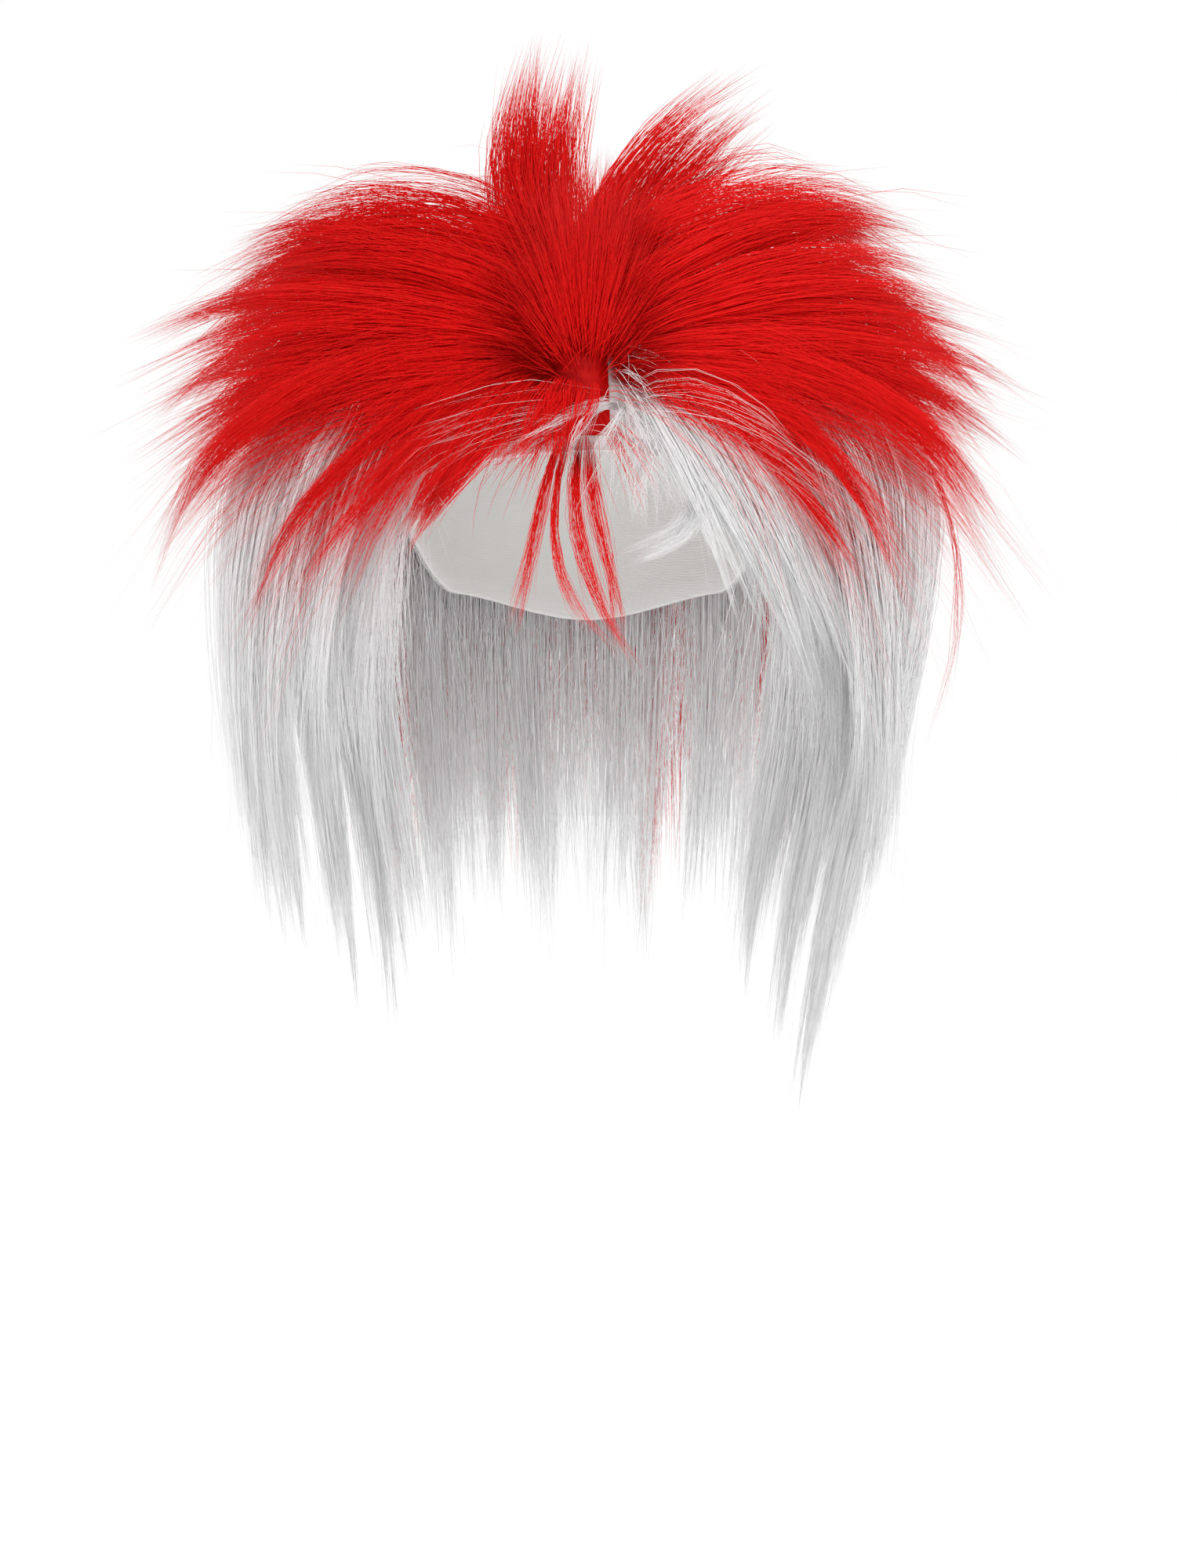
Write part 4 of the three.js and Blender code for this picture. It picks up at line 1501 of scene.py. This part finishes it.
@dataclass(frozen=True, kw_only=True)
class RedFringe(HairPanel):
    """The red fringe: a thick lock to the wearer's right, and thin locks down the middle of the forehead."""

    node: str = "fringe_red"
    slot: Slot = Slot.RED
    seed: int = SEED + 1
    sheaf: Lay = Lay(
        clumps=18, fibres=26, shortest=0.9, longest=1.1, layered=0.0, splay=2.5 * MM, spread=0.6,
        stray_reach=9 * MM,
    )
    short: Lay = Lay(clumps=9, fibres=18, splay=4 * MM)
    coat: Undercoat = Undercoat(600, 34 * MM, 8 * MM, 8 * MM, WHORL)

    def backing(self) -> Patch:
        """The forehead from the right temple to the parting with the forelock."""
        return Patch(-TEMPLE, FRINGE_PART, CROWN_EDGE, fringe_edge)

    def sections(self) -> dict[str, list[Section]]:
        """The thick lock, the short ones beside it, the thin ones and faint wisps."""
        return {
            "fringe_locks_red": [
                Section(swept_paths(FRINGE_RED[THICK_ROWS]), self.sheaf),
                Section(swept_paths(FRINGE_RED[SHORT_ROWS]), self.short),
                Section(wisp_paths(THIN_LOCKS), THIN),
                Section(wisp_paths(MIXED_WISPS), FAINT),
            ]
        }


@dataclass(frozen=True, kw_only=True)
class WhiteFringe(HairPanel):
    """The white forelock on the wearer's left, with a hooked tuft and wisps over the forehead."""

    node: str = "fringe_white"
    slot: Slot = Slot.WHITE
    seed: int = SEED + 2
    backing_inset: float = 5
    backing_top: float = 66
    forelock: Lay = Lay(clumps=24, fibres=26, layered=0.1, splay=4 * MM)
    inner: Lay = Lay(clumps=14, fibres=24, layered=0.0, tip=0.4, splay=4 * MM)
    tuft: Lay = Lay(
        clumps=9, fibres=18, radius=0.14 * MM, shortest=0.8, longest=1.15, layered=0.0, splay=3 * MM,
        spread=0.8, gather=0.3, stray_reach=10 * MM,
    )
    hairline: Patch = Patch(9, 24, 69, level_edge(84))
    coat: Undercoat = Undercoat(500, 36 * MM, 9 * MM, 8 * MM, CREST)
    tangle: Undercoat = Undercoat(260, 26 * MM, 10 * MM, 8 * MM, CREST, 0.12 * MM, frizz=0.9)

    def backing(self) -> Patch:
        """The forehead from near the parting to the left temple, a little below the crown's edge."""
        return Patch(FRINGE_PART + self.backing_inset, TEMPLE, self.backing_top, fringe_edge)

    def coats(self) -> list[Coat]:
        """Short hair from the parting to the temple, and a tangle at the hairline."""
        brow = Patch(FRINGE_PART, TEMPLE, CROWN_EDGE, fringe_edge)
        return [Coat(brow, self.coat), Coat(self.hairline, self.tangle)]

    def sections(self) -> dict[str, list[Section]]:
        """The forelock, more of it towards the middle, the hooked tuft, and wisps."""
        return {
            "fringe_locks_white": [
                Section(swept_paths(FRINGE_WHITE), self.forelock),
                Section(swept_paths(FRINGE_WHITE[INNER_ROWS]), self.inner),
                Section(wisp_paths(CURL), self.tuft),
                Section(wisp_paths(WHITE_WISPS), WISPY),
                Section(wisp_paths(MIXED_WISPS), FAINT),
            ]
        }


def raised(rows: Sequence[Hang], polar: float) -> list[Hang]:
    """The same hanging locks rooted higher on the cap, a little slimmer and closer."""
    closer, slimmer = 0.92, 0.8
    return [row._replace(polar=polar, puff=row.puff * closer, width=row.width * slimmer) for row in rows]


def back_row(count: int, half_turn: float, spread: float, shorter: float, lock: Hang) -> list[Hang]:
    """Locks hung evenly round the back, fanned sideways, every other one shorter.

    Args:
        count: how many.
        half_turn: degrees from the middle of the back to the last lock on each side.
        spread: how far the tips fan sideways (mm).
        shorter: how much shorter every other lock is (mm).
        lock: what the locks are like.

    Returns:
        The locks.
    """
    flatter = 0.5
    turns = np.linspace(180 - half_turn, 180 + half_turn, count)
    return [
        lock._replace(
            azimuth=float(a),
            tip_x=spread * float(s),
            tip_y=lock.tip_y * math.sqrt(1 - flatter * float(s * s)),
            tip_z=lock.tip_z + (i % 2) * shorter,
        )
        for i, (a, s) in enumerate(zip(turns, np.sin(np.radians(turns))))
    ]


@dataclass(frozen=True, kw_only=True)
class BackLayer(HairPanel):
    """Longer red locks that lie over the white tail."""

    node: str = "back_layer"
    slot: Slot = Slot.RED
    seed: int = SEED + 3
    lock: Hang = Hang(0, 65, 0, 106, -292, 42, 38)
    count: int = 7
    half_turn: float = 49
    spread: float = 112
    shorter: float = 60
    upper_polar: float = 59
    lay: Lay = replace(FALLING, fibres=19)
    coat: Undercoat = Undercoat(300, 80 * MM, 14 * MM, 20 * MM)

    def backing(self) -> Patch:
        """A band round the back of the head, under the crown."""
        return Patch(BEHIND_EAR, 360 - BEHIND_EAR, CROWN_EDGE, level_edge(BACK_LAYER_EDGE))

    def sections(self) -> dict[str, list[Section]]:
        """A row of locks and a slimmer one above it."""
        rows = back_row(self.count, self.half_turn, self.spread, self.shorter, self.lock)
        return {
            "back_locks_red": [
                Section(hanging_paths(rows), self.lay),
                Section(hanging_paths(raised(rows, self.upper_polar)), self.lay),
            ]
        }


@dataclass(frozen=True, kw_only=True)
class SideHair(HairPanel):
    """White hair of one side, puffed out from the temple and falling below the jaw."""

    hand: Hand
    slot: Slot = Slot.WHITE
    temple_back: float = 84
    temple_top: float = 62
    high_polar: float = 60
    outer: Lay = replace(FALLING, begin=0.1)
    loose: Lay = replace(FALLING, clumps=4, begin=0.32, spread=1.0, gather=0.3)
    pointed: Lay = replace(
        FALLING, clumps=9, shortest=0.96, longest=1.05, begin=0.3, ragged=0.08, tip=0.2, splay=3 * MM,
        gather=0.85,
    )
    high: Lay = Lay(
        clumps=6, fibres=20, layered=0.0, tip=0.45, gather=0.6, stray=0.07, stray_reach=15 * MM
    )
    cheek: Lay = replace(FALLING, clumps=16, fibres=22, begin=0.2)
    coat: Undercoat = Undercoat(400, 70 * MM, 16 * MM, 20 * MM)
    temple_coat: Undercoat = Undercoat(450, 96 * MM, 13 * MM, 26 * MM)

    def patch(self, back: float, upper: float) -> Patch:
        """The cap from the temple back to an azimuth and from an upper polar angle down to the edge."""
        start, end = (TEMPLE, back) if self.hand is Hand.LEFT else (-back, -TEMPLE)
        return Patch(start, end, upper, cap_edge)

    def backing(self) -> Patch:
        """The side of the head, from the temple to behind the ear."""
        return self.patch(BEHIND_EAR, CROWN_EDGE)

    def coats(self) -> list[Coat]:
        """Short hair all over the backing, and more of it at the temple."""
        temple = self.patch(self.temple_back, self.temple_top)
        return super().coats() + [Coat(temple, self.temple_coat)]

    def sections(self) -> dict[str, list[Section]]:
        """The outer and inner locks, loose and pointed ones over them, high ones, and the cheek's."""
        outer = OUTER_LOCKS[self.hand]
        return {
            f"side_locks_{self.hand.value}": [
                Section(hanging_paths(outer, SIDE_BULGE), self.outer),
                Section(hanging_paths(INNER_LOCKS[self.hand]), FALLING),
                Section(hanging_paths(outer[LOOSE_ROWS], SIDE_BULGE), self.loose),
                Section(hanging_paths(outer[POINTED_ROWS], SIDE_BULGE).alone(), self.pointed),
                Section(hanging_paths(raised(outer[HIGH_ROWS], self.high_polar), SIDE_BULGE), self.high),
                Section(hanging_paths(CHEEK_LOCKS[self.hand]), self.cheek),
            ]
        }


@dataclass(frozen=True, kw_only=True)
class Tail(HairPanel):
    """The white tail behind the neck."""

    node: str = "back_hair"
    slot: Slot = Slot.WHITE
    seed: int = SEED + 6
    lock: Hang = Hang(0, 86, 0, 84, -320, 26, 38)
    count: int = 7
    half_turn: float = 46
    spread: float = 82
    shorter: float = 26
    lay: Lay = replace(FALLING, clumps=16)
    coat: Undercoat = Undercoat(300, 80 * MM, 10 * MM, 20 * MM)

    def backing(self) -> Patch:
        """The back of the head below the red layer."""
        return Patch(BEHIND_EAR, 360 - BEHIND_EAR, BACK_LAYER_EDGE, cap_edge)

    def sections(self) -> dict[str, list[Section]]:
        """One row of locks."""
        rows = back_row(self.count, self.half_turn, self.spread, self.shorter, self.lock)
        return {"tail_locks": [Section(hanging_paths(rows), self.lay)]}


class Lamp(NamedTuple):
    """A large square lamp that faces the wig: its name, place (m), power (W) and side (m)."""

    name: str
    spot: Triple
    power: float
    side: float


@dataclass(frozen=True)
class Studio:
    """A plain pale floor, soft white light from all round and five large lamps."""

    floor_z: float = -0.55
    floor_rings: tuple[float, ...] = (0.001, 1.0, 4.0, 40.0)
    floor_sides: int = 64
    floor_white: float = 0.95
    backdrop: float = 1.04
    world: float = 0.76
    bounces: int = 24
    diffuse_bounces: int = 16
    lens: float = 92.0
    sensor: float = 36.0
    eye: Triple = (0.0008, -1.7, -0.222)
    aim: Triple = (0.0, 0.0, -0.1)
    lamps: tuple[Lamp, ...] = (
        Lamp("key", (-0.9, -2.0, 0.9), 5.0, 1.2),
        Lamp("fill", (0.1, -1.9, -0.6), 5.5, 1.2),
        Lamp("top", (0.0, -0.5, 2.2), 15.0, 1.6),
        Lamp("rear_right", (-1.6, 1.7, 0.6), 6.0, 1.6),
        Lamp("rear_left", (1.6, 1.7, 0.6), 6.0, 1.6),
    )

    def build(self) -> None:
        """Makes the floor, the lights and the camera."""
        self.floor()
        self.surroundings()
        for lamp in self.lamps:
            self.light(lamp)
        self.camera()

    def floor(self) -> None:
        """A disc of pale matt board: rings of points at growing radii, as bright as the backdrop."""
        sides = self.floor_sides
        turn = np.linspace(0, FULL_TURN, sides + 1)[:-1]
        rings = np.array(self.floor_rings)[:, None]
        flat = np.broadcast_arrays(rings * np.cos(turn), rings * np.sin(turn), self.floor_z)
        k, j = np.meshgrid(np.arange(len(rings) - 1), np.arange(sides), indexing="ij")
        a, b = (k * sides + j).ravel(), (k * sides + (j + 1) % sides).ravel()
        quad = corners(a, a + sides, b + sides, b)
        skin = Skin(np.stack(flat, axis=-1).reshape(-1, 3), [quad], [np.zeros((len(quad), 4, 2))])
        board = skin.piece("floor")
        made, nodes, shader = plain_material("floor_board")
        nodes.fill(
            shader,
            {
                "Base Color": (self.floor_white, self.floor_white, self.floor_white, 1),
                "Roughness": 0.9,
                "Emission Color": (1, 1, 1, 1),
                "Emission Strength": self.backdrop - self.floor_white * self.world,
            },
        )
        board.data.materials.append(made)

    def surroundings(self) -> None:
        """Soft white light from everywhere, a little weaker than the backdrop that the camera sees.

        The light is let bounce often, as white hair is lit deep inside by its own fibres.
        """
        world = bpy.data.worlds.new("studio")
        world.use_nodes = True
        nodes = Nodes(world.node_tree)
        seen = nodes.add("ShaderNodeLightPath").outputs["Is Camera Ray"]
        level = nodes.ranged(seen, (self.world, 1.0))
        nodes.fill(world.node_tree.nodes["Background"], {"Color": (1, 1, 1, 1), "Strength": level})
        scene = bpy.context.scene
        scene.world = world
        scene.cycles.max_bounces = self.bounces
        scene.cycles.diffuse_bounces = self.diffuse_bounces

    def light(self, lamp: Lamp) -> None:
        """One lamp, turned to the wig."""
        light = bpy.data.lights.new(lamp.name, "AREA")
        light.energy = lamp.power
        light.size = lamp.side
        holder = bpy.data.objects.new(lamp.name, light)
        holder.location = lamp.spot
        toward = Vector(self.aim) - Vector(lamp.spot)
        holder.rotation_euler = toward.to_track_quat("-Z", "Y").to_euler()
        bpy.context.scene.collection.objects.link(holder)

    def camera(self) -> None:
        """A camera straight before the wig, level, at the middle of the picture's height."""
        lens = bpy.data.cameras.new("camera")
        lens.lens = self.lens
        lens.sensor_width = self.sensor
        holder = bpy.data.objects.new("camera", lens)
        holder.location = self.eye
        holder.rotation_euler = (math.pi / 2, 0, 0)
        scene = bpy.context.scene
        scene.collection.objects.link(holder)
        scene.camera = holder
        scene.view_settings.view_transform = "Standard"


def main() -> None:
    """Builds the wig and its studio."""
    logging.basicConfig(level=logging.INFO, format="%(message)s")
    finishes = dress()
    Studio().build()
    Cap().build(finishes)
    for panel in (
        CrownHair(),
        RedFringe(),
        WhiteFringe(),
        BackLayer(),
        SideHair(node="side_hair_right", hand=Hand.RIGHT, seed=SEED + 4),
        SideHair(node="side_hair_left", hand=Hand.LEFT, seed=SEED + 5),
        Tail(),
    ):
        panel.build(finishes)


if __name__ == "__main__":
    main()
